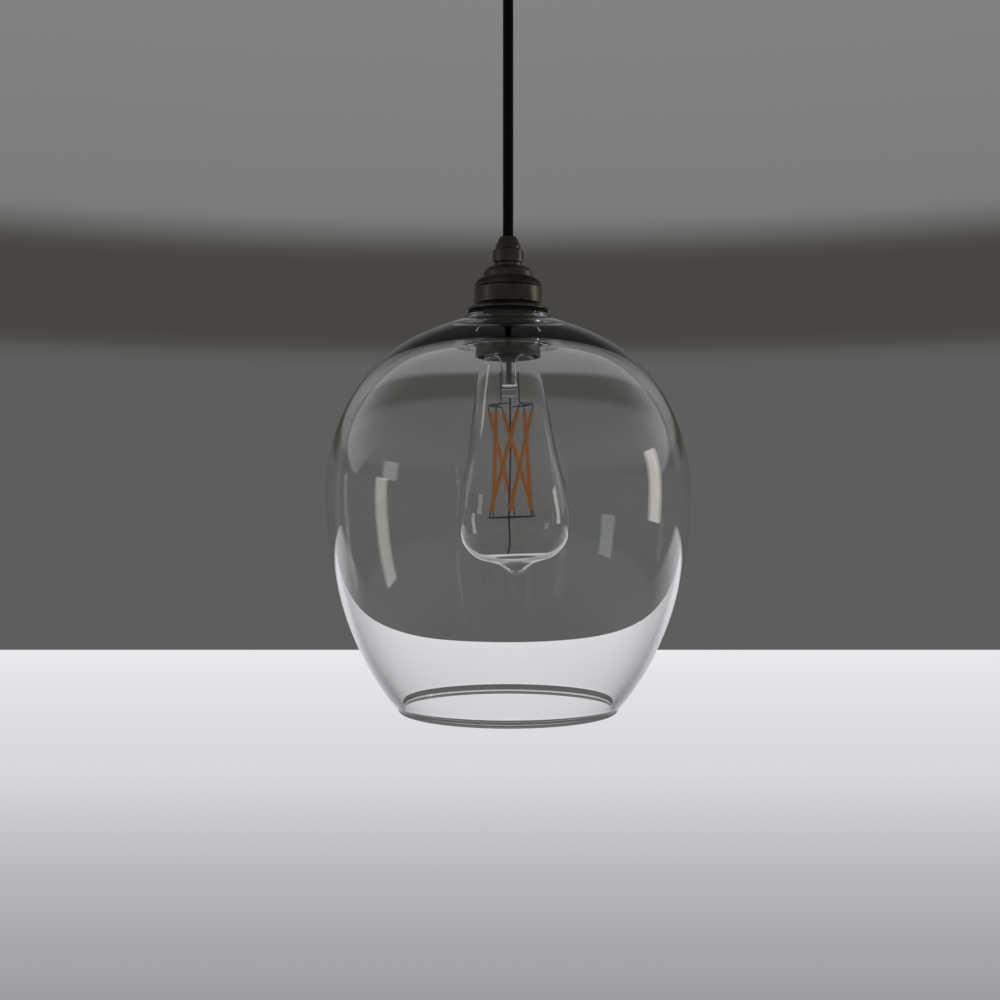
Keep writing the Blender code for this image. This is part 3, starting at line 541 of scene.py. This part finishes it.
def make_grip_nut(name, top, direction, body, material, replaced):
    """Gland nut: a rounded mouth, a coned shoulder and a threaded spigot.

    direction is -1 for a nut with its mouth up, and 1 for one with its mouth down."""
    outline = [(0.0046, 0.0, 0.0003), (0.0050, 0.0006, 0.0004), (0.0076, 0.0056, 0.0005),
               (0.0076, 0.0062, 0.0002), (0.0069, 0.0062, 0.0001), (0.0069, 0.0096), (0.0061, 0.0096),
               (0.0061, 0.0044), (0.0033, 0.0016, 0.0006), (0.0033, 0.0, 0.0004)]
    line = [(r, top + direction * z) for r, z in rounded(outline, count=4)]
    if direction > 0:
        line.reverse()
    turned(name, line, body, material, replaced, steps=96)


def make_grip_body(material):
    """The gland's lower half: a knob that the nut screws into, and a spigot through the dome."""
    top = GRIP_TOP
    outline = [(0.0079, top - 0.0072, 0.0002), (0.0089, top - 0.0080, 0.0006), (0.0089, top - 0.0148, 0.0004),
               (0.0084, top - 0.0152), (0.00795, top - 0.0152, 0.0001), (0.00795, top - 0.0172),
               (0.0049, top - 0.0172), (0.0049, top - 0.0233), (0.0033, top - 0.0233),
               (0.0033, top - 0.0122), (0.0072, top - 0.0122), (0.0072, top - 0.0072)]
    turned("cord_grip", rounded(outline, count=4), "holder", material, ("cord_grip_body",),
           steps=112)


def make_cap(material):
    """The dome: a rounded shoulder, and the skirt that screws into the body."""
    roof, shoulder, wall = SEAT + 0.0264, 0.0035, 0.0014
    centre = (0.0143 - shoulder, roof - shoulder)
    outline = [(0.0053, roof), *[(*p, 0) for p in arc(centre, shoulder, 88, 0, 14)],
               (0.0143, SEAT + 0.0150), (0.0172, SEAT + 0.0150), (0.0172, SEAT + 0.0078),
               (0.0157, SEAT + 0.0078), (0.0157, SEAT + 0.0136), (0.0129, SEAT + 0.0136),
               *[(*p, 0) for p in arc(centre, shoulder - wall, 0, 90, 8)], (0.0053, roof - wall)]
    turned("holder_dome", rounded(outline), "holder", material, ("holder_cap",))


KNURLS = 110
KNURL_DEPTH = 0.00032


def make_knurled_ring(material):
    """The sloping ring under the dome, with a fine straight knurl between two plain edges."""
    upper, lower, bore = SEAT + 0.0197, SEAT + 0.0158, 0.0155

    def relief(radius, level, angle):
        if radius < bore or not lower < level < upper:
            return 0.0
        share = (level - lower) / (upper - lower)
        fade = min(1.0, 9 * min(share, 1 - share))
        groove = np.abs(np.sin(KNURLS * angle / 2)) ** 1.5
        return -KNURL_DEPTH * fade * groove

    outline = [(0.0148, SEAT + 0.0203), (0.0160, SEAT + 0.0202, 0.0004), (0.0166, SEAT + 0.0196, 0.0008),
               (0.0183, SEAT + 0.0178, 0.002), (0.0191, SEAT + 0.0163, 0.0006),
               (0.0191, SEAT + 0.0154, 0.0002), (0.0146, SEAT + 0.0154), (0.0146, SEAT + 0.0203)]
    line = refine(rounded(outline), 0.0003)
    turned("knurled_collar", line, "holder", material, ("knurled_ring",), steps=KNURLS * 8,
           relief=relief)


def thread_relief(depth, low, high, pitch=THREAD_PITCH):
    """A rounded right-hand thread that fades out at both ends."""
    run_out = 0.0012

    def relief(radius, level, angle):
        fade = min(1.0, max(0.0, (level - low) / run_out), max(0.0, (high - level) / run_out))
        return depth * fade * np.cos(2 * math.pi * level / pitch - angle)
    return relief


def make_body(material):
    """The collar, and the threaded tube under it that the sleeve screws up."""
    top, step, foot = SEAT + 0.0150, SEAT + 0.0056, SEAT - 0.0187
    collar, tube = 0.01925, 0.0169
    depth, pitch = 0.00013, 0.0020
    outline = [(collar, top, 0.0005), (collar, step, 0.0005), (tube, step, 0.0001), (tube, foot, 0.0003),
               (tube - 0.0010, foot), (tube - 0.0010, step + 0.0014), (0.0176, step + 0.0014), (0.0176, top)]
    thread = thread_relief(depth, foot + 0.0004, step - 0.0006, pitch)

    def relief(radius, level, angle):
        on_thread = tube - 0.0003 < radius < tube + 0.0002 and level < step
        return thread(radius, level, angle) - depth if on_thread else 0.0

    line = refine(rounded(outline, count=4), 0.0004)
    turned("holder_collar", line, "holder", material, ("holder_body",), steps=144, relief=relief)


def make_flange(material, rubber):
    """The ring that rests on the glass, with a gasket above the glass and a washer under it."""
    outline = [(0.0178, SEAT + 0.0053), (0.0200, SEAT + 0.0050, 0.0008), (0.0238, SEAT + 0.0030, 0.0006),
               (0.0239, SEAT + 0.0016, 0.0004), (0.0172, SEAT + 0.0013), (0.0172, SEAT + 0.0053)]
    turned("shade_ring", rounded(outline, count=5), "holder", material, ("shade_flange_ring",),
           steps=144)
    for name, body, inner, outer, top, replaced, steps in (
            ("shade_gasket", "holder", 0.0175, 0.0230, SEAT + 0.0010, "upper_gasket", 128),
            ("shade_washer", "shade", 0.0174, 0.0190, SEAT - 0.0047, "lower_washer", 96)):
        foot = top - 0.0007
        flat = [(outer, top), (outer, foot), (inner, foot), (inner, top)]
        turned(name, rounded(flat, 0.0001), body, rubber, (replaced,), steps)


def make_sleeve(material):
    """The long ring nut under the glass, with a rolled bead at its rim."""
    top, thread_end, rim = SEAT - 0.0057, SEAT - 0.0135, SEAT - 0.0219
    bead = arc((0.01835, rim + 0.00065), 0.00063, 50, -90, 9)
    outline = [(0.0186, top, 0.0004), (0.0186, rim + 0.0019, 0.0003), *[(*p, 0) for p in bead],
               (0.01775, rim, 0.0002), (0.01775, thread_end), (0.0172, thread_end), (0.0172, top)]
    turned("shade_sleeve", rounded(outline, count=4), "sleeve", material, ("sleeve_nut",),
           steps=144)


def make_contact_spring(material):
    """The coil behind the centre contact's head, made at one length here though it shortens as the head is
    pushed in.
    """
    low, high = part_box("contact_spring")
    clear, radius, wire = 0.0003, 0.0028, 0.00026
    foot, top = low.z + clear, high.z - clear
    turns, per_turn = 3.5, 36
    count = int(turns * per_turn)
    route = [(radius * math.cos(2 * math.pi * i / per_turn), radius * math.sin(2 * math.pi * i / per_turn),
              foot + (top - foot) * i / count) for i in range(count + 1)]
    made = new_object("contact_coil", *swept(route, wire, 12))
    finish_piece(made, None, material, ("contact_spring",))
    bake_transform(made)


def make_thread_shell(material):
    """The rolled brass shell that takes the bulb's cap, its thread in step with the cap's."""
    top, foot = SEAT + 0.0009, SEAT - 0.0171
    outer, inner = 0.0144, 0.01375
    outline = [(outer, top), (outer, foot, 0.0001), (inner, foot, 0.0001), (inner, top)]
    thread = thread_relief(0.00032, foot + 0.0003, top - 0.0003)

    def relief(radius, level, angle):
        return thread(radius, level, angle) if radius < (outer + inner) / 2 else 0.0

    line = refine(rounded(outline, 0.0001), 0.0004)
    turned("screw_shell", line, "holder", material, ("thread_shell",), steps=96,
           relief=relief)


# -------------------------------- glass globe

def dome_drop(radius):
    """How far the dome sits under a true sphere at a radius."""
    far, near = DOME_FLATTER
    share = min(1.0, max(0.0, (far - radius) / (far - near)))
    return DOME_DROP * share * share * (3 - 2 * share)


def globe_outside(count=44):
    """Outer face from the neck to the mouth: a slightly flattened sphere, and an ellipse below its middle."""
    start = math.degrees(math.acos(NECK_RADIUS / GLOBE_RADIUS))
    upper = [(r, z - dome_drop(r)) for r, z in arc((0, EQUATOR), GLOBE_RADIUS, start, 0, count)]
    depth = (EQUATOR - MOUTH) / math.sqrt(1 - (MOUTH_RADIUS / GLOBE_RADIUS) ** 2)
    end = math.asin((EQUATOR - MOUTH) / depth)
    return upper + [(GLOBE_RADIUS * math.cos(end * i / count), EQUATOR - depth * math.sin(end * i / count))
                    for i in range(1, count + 1)]


def glass_wall(radius, level):
    """The wall's thickness: even below the middle, and thicker towards the neck."""
    if level <= EQUATOR:
        return GLOBE_WALL
    towards_neck = math.acos(min(1.0, radius / GLOBE_RADIUS)) / math.acos(NECK_RADIUS / GLOBE_RADIUS)
    return GLOBE_WALL + (NECK_WALL - GLOBE_WALL) * towards_neck ** 4


def inside_of(outside, wall):
    """The inner face of a turned glass, each point moved in along the outline's normal."""
    inner = []
    for index, (radius, level) in enumerate(outside):
        before, after = outside[max(index - 1, 0)], outside[min(index + 1, len(outside) - 1)]
        along = Vector((after[0] - before[0], after[1] - before[1])).normalized()
        thick = wall(radius, level)
        inner.append((radius + along.y * thick, level - along.x * thick))
    return inner


def make_globe(material):
    """One blown piece: a flat seat, the globe, a fire-polished mouth and a lip turned in at the neck."""
    outside = globe_outside()
    shoulder = rounded([(NECK_RADIUS - 0.0012, SEAT), (NECK_RADIUS, SEAT - 0.0010), (*outside[0], 0)],
                       0.0006, closed=False)[1:-1]

    bead = GLOBE_WALL / 2 + 0.0002
    bead_centre = (MOUTH_RADIUS - bead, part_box("glass_shade")[0].z + bead)
    mouth = arc(bead_centre, bead, 10, -190, 22)

    inner_wall = [p for p in inside_of(outside, glass_wall)[:-1] if p[0] > NECK_RADIUS + 0.006]
    sleeve_bore, holder_bore, seat_depth = 0.01975, 0.0173, 0.0044
    lip = [(NECK_RADIUS + 0.0030, SEAT - 0.0104), (NECK_RADIUS + 0.0006, SEAT - 0.0108),
           (NECK_RADIUS, SEAT - 0.0118), (NECK_RADIUS - 0.0010, SEAT - 0.0126),
           (NECK_RADIUS - 0.0028, SEAT - 0.0127), (sleeve_bore, SEAT - 0.0114)]
    per_span = 6
    lip = spline([inner_wall[3], inner_wall[0], *lip], per_span)[per_span + 1:]
    bore = rounded([(sleeve_bore, SEAT - 0.0110), (sleeve_bore, SEAT - seat_depth),
                    (holder_bore, SEAT - seat_depth), (holder_bore, SEAT), (NECK_RADIUS - 0.0040, SEAT)],
                   0.0004, closed=False)

    outline = [(NECK_RADIUS - 0.0030, SEAT), *shoulder, *outside[:-1], *mouth, *reversed(inner_wall),
               *lip, *bore]
    turned("glass_globe", outline, "shade", material, ("glass_shade",), steps=224)


# -------------------------------- bulb

def bulb_outside():
    """Outer face of the envelope, from inside the cap down to the pip at its tip."""
    neck = [(0.0115, CAP_FOOT + 0.0063), (0.0115, CAP_FOOT + 0.0022)]
    body = [(0.0131, CAP_FOOT - 0.0002), (0.0150, SEAT - 0.0222), (0.0161, SEAT - 0.0245),
            (0.0168, SEAT - 0.0290), (0.0190, SEAT - 0.0396), (0.0262, SEAT - 0.0826),
            (0.0306, SEAT - 0.1036), (0.0320, SEAT - 0.1182), (0.0292, SEAT - 0.1301),
            (0.0216, SEAT - 0.1380), (0.0105, SEAT - 0.1415), (0.0075, SEAT - 0.1433),
            (0.0056, SEAT - 0.1449), (0.0036, SEAT - 0.1467), (0.0018, BULB_TIP + 0.0001), (0, BULB_TIP)]
    return neck + spline(body, 8)


def make_envelope(material):
    """The thin glass, its inner face rounded off above the solid pip."""
    wall, pip = 0.0008, 0.0040
    outside = bulb_outside()
    inside = [p for p in inside_of(outside, lambda radius, level: wall) if p[0] > pip]
    inside += spline([inside[-1], (pip / 2, BULB_TIP + 0.0020), (0.0, BULB_TIP + 0.0018)], 5)[1:]
    inside[0] = (inside[0][0], outside[0][1])
    turned("bulb_glass_envelope", list(reversed(inside)) + outside, "bulb", material,
           ("bulb_envelope",), steps=144, closed=False, place=LEAN)


def in_bulb(name, part, material, replaced=()):
    """A piece of the bulb, made upright and leaned over with it."""
    finish_piece(new_object(name, *part), "bulb", material, replaced, LEAN)


def pinch_mesh(top, foot):
    """The stem's flattened end: a squarish bar, thick where it leaves the tube and eased at its foot."""
    wide, thin, thicker = 0.0046, 0.0017, 0.0026
    eased, ease = 0.14, 0.3
    rows, sides = 14, 40
    verts, faces = [], []
    for row in range(rows + 1):
        share = row / rows
        deep = thin + thicker * max(0.0, 1 - share * 2.6) ** 2
        towards_foot = max(0.0, (share - (1 - eased)) / eased)
        scale = (1 - ease) + ease * math.sqrt(max(0.0, 1 - towards_foot ** 2))
        for side in range(sides):
            angle = 2 * math.pi * side / sides
            x, y = math.cos(angle), math.sin(angle)
            square = (x ** 4 + y ** 4) ** -0.25
            verts.append((wide * scale * x * square, deep * scale * y * square, top + (foot - top) * share))
    for row in range(rows):
        upper, lower = row * sides, (row + 1) * sides
        for side in range(sides):
            after = (side + 1) % sides
            faces.append((upper + side, lower + side, lower + after, upper + after))
    faces.append(tuple(range(sides)))
    faces.append(tuple(reversed(range(rows * sides, (rows + 1) * sides))))
    return verts, faces


def make_stem(material):
    """Glass stem: a flared skirt, a hollow tube, the pinch that grips the wires and the exhaust tube."""
    pinch_top, skirt_top = STEM_END + 0.0074, CAP_FOOT + 0.0020
    outer = spline([(0.0103, skirt_top), (0.0099, CAP_FOOT + 0.0014), (0.0076, CAP_FOOT - 0.0003),
                    (0.0055, CAP_FOOT - 0.0030), (0.0048, CAP_FOOT - 0.0066), (0.0047, pinch_top)], 5)
    inner = spline([(0.0041, pinch_top), (0.0042, CAP_FOOT - 0.0066), (0.0047, CAP_FOOT - 0.0030),
                    (0.0066, CAP_FOOT), (0.0088, CAP_FOOT + 0.0016), (0.0096, skirt_top)], 5)
    turned("bulb_glass_stem", outer + inner, "bulb", material, ("bulb_stem",), 72, place=LEAN)
    in_bulb("bulb_glass_pinch", pinch_mesh(pinch_top - 0.0002, STEM_END), material)
    outside, inside, top, foot = 0.0015, 0.0009, CAP_FOOT + 0.0018, pinch_top + 0.0006
    tube = rounded([(outside, top), (outside, foot), (inside, foot), (inside, top)], 0.0002)
    turned("bulb_exhaust_tube", tube, "bulb", material, (), 40, place=LEAN)


def make_screw_cap(nickel, black):
    """Screw cap rolled in one sheet with its thread, the black glass in its crown and the tip contact."""
    root, sheet = 0.0127, 0.0007
    top, foot = SEAT - 0.0029, CAP_FOOT
    outline = [(0.0113, top, 0.0002), (root - 0.0003, top - 0.0008, 0.0006), (root, top - 0.0016, 0.001),
               (root, foot + 0.0030, 0.001), (0.0134, foot + 0.0009, 0.0008), (0.0139, foot, 0.0002),
               (0.0135, foot), (0.0129, foot + 0.0012, 0.0008), (root - sheet, foot + 0.0036, 0.001),
               (root - sheet, top - 0.0016), (0.0109, top - 0.0004)]
    thread = thread_relief(0.00030, foot + 0.0022, top - 0.0008)
    turned("bulb_cap", refine(rounded(outline), 0.00035), "bulb", nickel, ("bulb_screw_cap",), 112,
           relief=thread, place=LEAN)

    insulator = [(0, SEAT + 0.0025), (0.0046, SEAT + 0.0025, 0.0004), (0.0105, SEAT - 0.0029, 0.0004),
                 (0.0105, SEAT - 0.0055), (0, SEAT - 0.0055)]
    turned("bulb_cap_black_glass", rounded(insulator, closed=False), "bulb", black,
           ("bulb_cap_insulator",), 72, closed=False, place=LEAN)

    crown = SEAT + 0.0040
    button = [(0, crown), (0.0018, crown - 0.0001, 0.002), (0.0030, crown - 0.0003, 0.001),
              (0.0043, crown - 0.0009, 0.0003), (0.0043, SEAT + 0.0028), (0, SEAT + 0.0028)]
    turned("bulb_button", rounded(button, closed=False), "bulb_tip", nickel, ("bulb_tip_contact",),
           56, closed=False, place=LEAN)


def on_ring(radius, degrees, level, shift=0.0):
    """A point on a level ring round the bulb's axis, or round a line to one side of it."""
    turn = math.radians(degrees)
    return Vector((shift + radius * math.cos(turn), radius * math.sin(turn), level))


def make_electrodes(material):
    """The two half rings that carry the filaments' tops, each on its lead from the pinch."""
    half_span, steps = 76, 40
    for name, middle in (("left", 188), ("right", 8)):
        half = [on_ring(UPPER_RING_RADIUS, middle + half_span * (2 * i / steps - 1), UPPER_RING)
                for i in range(steps + 1)]
        bends = ((0.0053, STEM_END + 0.0150), (0.0052, STEM_END + 0.0060), (0.0052, STEM_END + 0.0010),
                 (0.0056, UPPER_RING + 0.0016), (0.0068, UPPER_RING), (0.0100, UPPER_RING),
                 (UPPER_RING_RADIUS, UPPER_RING))
        lead = spline([on_ring(radius, middle, level) for radius, level in bends], 6)
        in_bulb(f"wire_{name}", merged(swept(half, 0.00035, 12), swept(lead, 0.00032, 12)), material,
                (f"electrode_{name}",))


def make_lower_ring(material):
    """The ring that joins the filaments' feet, with three spokes to its hub."""
    steps = 72
    ring = swept([on_ring(LOWER_RING_RADIUS, 360 * i / steps, LOWER_RING, RING_SHIFT) for i in range(steps)],
                 0.00038, 12, cyclic=True)
    inner, outer, half_height = 0.0009, 0.0014, 0.0008
    top, foot = LOWER_RING + half_height, LOWER_RING - half_height
    hub = turned_mesh(rounded([(outer, top), (outer, foot), (inner, foot), (inner, top)], 0.0001), 32)
    middle = Vector((HUB_SHIFT, 0, LOWER_RING))
    spokes = []
    for turn in (30, 150, 270):
        rim = on_ring(LOWER_RING_RADIUS, turn, LOWER_RING, RING_SHIFT)
        start = middle + 0.0012 * (rim - middle).normalized()
        spokes.append(swept([start, start.lerp(rim, 0.5), rim], 0.0003, 10))
    hub = placed(hub, Matrix.Translation((HUB_SHIFT, 0, 0)))
    in_bulb("wire_lower_ring", merged(ring, hub, *spokes), material, ("lower_support_ring",))


def make_support_wire(material):
    """The long wire from the pinch through the hub, with a loose end that curls aside."""
    bends = ((0, STEM_END - 0.0003), (0.4 * HUB_SHIFT, LOWER_RING + 0.0300), (HUB_SHIFT, LOWER_RING + 0.0015),
             (HUB_SHIFT, LOWER_RING - 0.0120), (HUB_SHIFT - 0.0004, LOWER_RING - 0.0175),
             (HUB_SHIFT - 0.0014, LOWER_RING - 0.0212))
    route = spline([(x, 0, z) for x, z in bends], 5)
    in_bulb("wire_support", swept(route, 0.0005, 12), material, ("support_wire",))


def make_filaments(phosphor, wire):
    """Coated rods between the rings, a quarter turn round from top to bottom, with wire tabs at both ends."""
    clear, thick, tab = 0.0006, 0.0012, 0.00034
    tip = [(0.048, 0.0007), (0.050, 0.00095), (0.056, 0.00113), (0.066, thick)]
    start, steps = tip[-1][0], 12
    middle = [(start + (1 - 2 * start) * i / steps, thick) for i in range(1, steps)]
    rod = tip + middle + [(1 - share, size) for share, size in reversed(tip)]
    for index in range(FILAMENTS):
        turn = -8 - 360 / FILAMENTS * index
        top = on_ring(UPPER_RING_RADIUS, turn, UPPER_RING - clear)
        bottom = on_ring(LOWER_RING_RADIUS, turn - 90, LOWER_RING + clear, RING_SHIFT)
        coated = swept([top.lerp(bottom, share) for share, _ in rod], [size for _, size in rod], 20)
        in_bulb(f"filament_rod_{index + 1}", coated, phosphor, (f"filament_{index + 1}",))
        tabs = [swept([top.lerp(bottom, share) for share in run], tab, 10)
                for run in ((0.0, 0.06), (0.94, 1.0))]
        in_bulb(f"filament_tabs_{index + 1}", merged(*tabs), wire)


# -------------------------------- ceiling rose

def make_rose_cup(bronze, screw_level):
    """The cup that covers the wiring, with a hole for the flex and one at each side for a screw."""
    wall, bend, hole = 0.0012, 0.004, 0.0053
    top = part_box("rose_cup")[1].z
    centre = (ROSE_RADIUS - bend, ROSE_FOOT + bend)
    outline = [(ROSE_RADIUS, top, 0.0004), *[(*p, 0) for p in arc(centre, bend, 0, -90, 14)],
               (hole, ROSE_FOOT), (hole, ROSE_FOOT + wall),
               *[(*p, 0) for p in arc(centre, bend - wall, -90, 0, 10)], (ROSE_RADIUS - wall, top, 0.0004)]
    made = new_object("rose", *turned_mesh(rounded(outline), 160))
    across = Matrix.Rotation(math.radians(90), 4, "Y")
    drilled(made, [(Matrix.Translation((side * ROSE_RADIUS, 0, screw_level)) @ across, 0.0022, 0.01)
                   for side in (-1, 1)])
    finish_piece(made, "rose", bronze, ("rose_cup",))


def make_thumb_screws(bronze, level):
    """The knurled screws that hold the cup to its strap."""
    head, shank, length, reach = 0.0048, 0.0019, 0.0052, -0.008
    outline = [(0, length), (head - 0.0014, length, 0.0006), (head, length - 0.0008, 0.0004), (head, 0.0),
               (shank, 0.0), (shank, reach), (0, reach)]
    line = refine(rounded(outline, closed=False), 0.0006, closed=False)

    def knurl(radius, height, angle):
        on_edge = radius > head - 0.0002 and 0.0005 < height < length - 0.0011
        return -0.00018 * np.abs(np.sin(18 * angle)) if on_edge else 0.0

    for name, side in (("left", -1), ("right", 1)):
        place = (Matrix.Translation((side * (ROSE_RADIUS + 0.0003), 0, level))
                 @ Matrix.Rotation(math.radians(90 * side), 4, "Y"))
        made = new_object(f"rose_thumb_screw_{name}",
                          *placed(turned_mesh(line, 216, closed=False, relief=knurl), place))
        finish_piece(made, "rose", bronze, (f"rose_side_screw_{name}",))


def make_rose(bronze):
    """Cup, side screws, and the gland that carries the flex."""
    low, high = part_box("rose_side_screw_right")
    screw_level = (low.z + high.z) / 2
    make_rose_cup(bronze, screw_level)
    make_thumb_screws(bronze, screw_level)

    under, spigot_top = ROSE_FOOT - 0.0003, -0.0215
    body = [(0.0049, spigot_top), (0.0049, under, 0.0), (0.0085, under, 0.0003),
            (0.0089, under - 0.0006, 0.0003), (0.0089, under - 0.0082, 0.0005),
            (0.0079, under - 0.0090, 0.0002), (0.0072, under - 0.0090), (0.0072, under - 0.0034),
            (0.0033, under - 0.0034), (0.0033, spigot_top)]
    turned("rose_gland", rounded(body, count=4), "rose", bronze, ("rose_grip_body",), steps=112)
    make_grip_nut("rose_gland_nut", ROSE_MOUTH, 1, "rose", bronze, ("rose_grip_nut",))


# -------------------------------- studio

FLOOR_LEVEL = -1.45
FLOOR_BACK = 8.95             # how far the pale floor runs behind the light
FLOOR_HALF = 3.4              # how far it runs to the sides and the front


def make_floor():
    """A plain pale floor that glows more towards its far edge, where the grey wall starts."""
    widens, far_half = 1.2, FLOOR_HALF * 3.2
    corners = [(-far_half, FLOOR_BACK), (-FLOOR_HALF, widens), (-FLOOR_HALF, -FLOOR_HALF),
               (FLOOR_HALF, -FLOOR_HALF), (FLOOR_HALF, widens), (far_half, FLOOR_BACK)]
    floor = new_object("floor", [(x, y, FLOOR_LEVEL) for x, y in corners], [(0, 1, 2, 3, 4, 5)])
    made, tree, shader = new_material("floor_pale", 0.6)
    shader.inputs["Base Color"].default_value = (0.12, 0.12, 0.125, 1)
    _, back, _ = axes(tree)
    share = maths(tree, "DIVIDE", back, FLOOR_BACK, clamp=True)
    glow = ramp(tree, share, (0.10, (0.09, 0.09, 0.093)), (0.26, (0.34, 0.335, 0.35)),
                (0.50, (0.66, 0.65, 0.68)), (1.0, (0.80, 0.79, 0.82)))
    tree.links.new(glow, shader.inputs["Emission Color"])
    shader.inputs["Emission Strength"].default_value = 1.0
    floor.data.materials.append(made)


def make_world():
    """Dim grey all round, lighter above the walls. The far side has a darker beam between the two."""
    world = bpy.data.worlds.new("studio")
    bpy.context.scene.world = world
    world.use_nodes = True
    tree = world.node_tree
    direction = node(tree, "ShaderNodeTexCoord").outputs["Generated"]
    _, y, level = node(tree, "ShaderNodeSeparateXYZ", Vector=direction).outputs
    height = half_up(tree, level)
    wall = (0.112, 0.112, 0.110)
    beam = (0.064, 0.061, 0.055)
    near_wall = (0.10, 0.10, 0.097)
    dim = (0.10, 0.10, 0.10)
    far = ramp(tree, height, (0.30, dim), (0.442, wall), (0.553, wall), (0.560, beam), (0.592, beam),
               (0.606, (0.20, 0.20, 0.20)), (0.69, (0.23, 0.23, 0.23)), (0.80, (0.09, 0.09, 0.09)),
               (1.0, dim))
    near = ramp(tree, height, (0.30, dim), (0.46, near_wall), (0.54, near_wall),
                (0.66, (0.17, 0.17, 0.17)), (0.80, dim), (1.0, dim))
    behind = ramp(tree, half_up(tree, y, clamp=True), (0.0, (0, 0, 0)), (0.35, (1, 1, 1)))
    tree.links.new(mix(tree, behind, near, far), tree.nodes["Background"].inputs["Color"])


def make_studio():
    """The floor, the walls and two soft windows, one at each side, that look at the globe."""
    make_floor()
    make_world()
    for name, place, size, power, tint in (
            ("window_right", (2.5, 0.45, -0.1), (0.5, 1.0), 4.0, (1.0, 0.95, 0.88)),
            ("window_left", (-2.5, -0.6, 0.1), (0.5, 0.4), 0.8, (0.93, 0.97, 1.0))):
        data = bpy.data.lights.new(name, "AREA")
        data.shape = "RECTANGLE"
        data.size, data.size_y = size
        data.energy = power
        data.color = tint
        lamp = bpy.data.objects.new(name, data)
        lamp.location = place
        aim = Vector((0, 0, -0.3)) - Vector(place)
        lamp.rotation_euler = aim.to_track_quat("-Z", "Y").to_euler()
        lamp.visible_camera = False
        bpy.context.scene.collection.objects.link(lamp)


# -------------------------------- assembly

def dress_cad_nodes(families):
    """Give materials to the CAD nodes that no piece replaces."""
    for material, names in families:
        for name in names:
            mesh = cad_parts[name].data
            mesh.materials.clear()
            mesh.materials.append(material)


def main():
    """The camera and the cord come first, then the lampholder, the glass, the bulb and the rose."""
    make_camera()
    bpy.context.scene.view_settings.view_transform = "Standard"
    braid = braid_material("black_braid")
    make_flex(braid)

    bronze = bronze_material("antique_bronze", deep=(0.075, 0.068, 0.056), body=(0.185, 0.166, 0.134),
                             worn=(0.30, 0.26, 0.20))
    # The sleeve's bronze is the lampholder's finish with painted light: lighter in colour for the brighter
    # light the sleeve catches, and a little rougher.
    dull_lit_bronze = bronze_material("sleeve_bronze", deep=(0.110, 0.102, 0.087), body=(0.240, 0.220, 0.182),
                           worn=(0.36, 0.32, 0.25), roughness=0.38)
    steel = metal_material("zinc_steel", (0.42, 0.42, 0.43), (0.60, 0.60, 0.61), 0.34, 160.0)
    brass = metal_material("terminal_brass", (0.46, 0.32, 0.12), (0.66, 0.49, 0.21), 0.28)
    nickel = metal_material("nickel_cap", (0.48, 0.47, 0.45), (0.66, 0.65, 0.62), 0.30)
    wire = metal_material("oxidised_wire", (0.055, 0.050, 0.046), (0.15, 0.135, 0.12), 0.42, 900.0)
    glass = glass_material("blown_glass", (0.985, 0.992, 0.990), 0.00012, 16.0)
    thin_glass = glass_material("bulb_glass", (0.995, 0.997, 0.997), 0.00003, 40.0)
    phosphor = phosphor_material("amber_phosphor")
    ceramic = moulded_material("glazed_ceramic", (0.80, 0.78, 0.73), 0.30)
    black = moulded_material("black_insulator", (0.018, 0.018, 0.020), 0.28)
    white = moulded_material("white_plastic", (0.76, 0.75, 0.71), 0.45)
    rubber = moulded_material("gasket_rubber", (0.035, 0.035, 0.036), 0.80, 1200.0)
    brown = moulded_material("brown_core", (0.16, 0.060, 0.025), 0.5)
    blue = moulded_material("blue_core", (0.03, 0.10, 0.35), 0.5)
    green = moulded_material("green_core", (0.10, 0.32, 0.06), 0.5)
    board = moulded_material("circuit_board", (0.06, 0.20, 0.08), 0.45)

    make_grip_nut("gland_nut", GRIP_TOP, -1, "grip_nut", bronze, ("cord_grip_nut",))
    make_grip_body(bronze)
    make_cap(bronze)
    make_knurled_ring(bronze)
    make_body(bronze)
    make_flange(bronze, rubber)
    make_sleeve(dull_lit_bronze)
    make_thread_shell(brass)
    make_contact_spring(steel)
    make_globe(glass)
    make_envelope(thin_glass)
    make_stem(thin_glass)
    make_screw_cap(nickel, black)
    make_electrodes(wire)
    make_lower_ring(wire)
    make_support_wire(wire)
    make_filaments(phosphor, wire)
    make_rose(bronze)
    poles = ("live", "neutral", "earth")
    dress_cad_nodes((
        (steel, ["ceiling_bracket", "rose_grip_locknut", *[f"terminal_screw_{pole}" for pole in poles],
                 "live_terminal_screw", "neutral_terminal_screw"]),
        (brass, [*[f"terminal_tube_{pole}" for pole in poles],
                 "live_terminal_plate", "neutral_terminal_plate", "earth_terminal", "centre_contact"]),
        (ceramic, ["socket_insulator"]),
        (black, ["cord_grip_collet"]),
        (white, ["terminal_block"]),
        (board, ["bulb_driver"]),
        *[(core, [f"rose_core_{pole}", f"holder_core_{pole}"])
          for core, pole in zip((brown, blue, green), poles)],
    ))
    make_studio()


main()
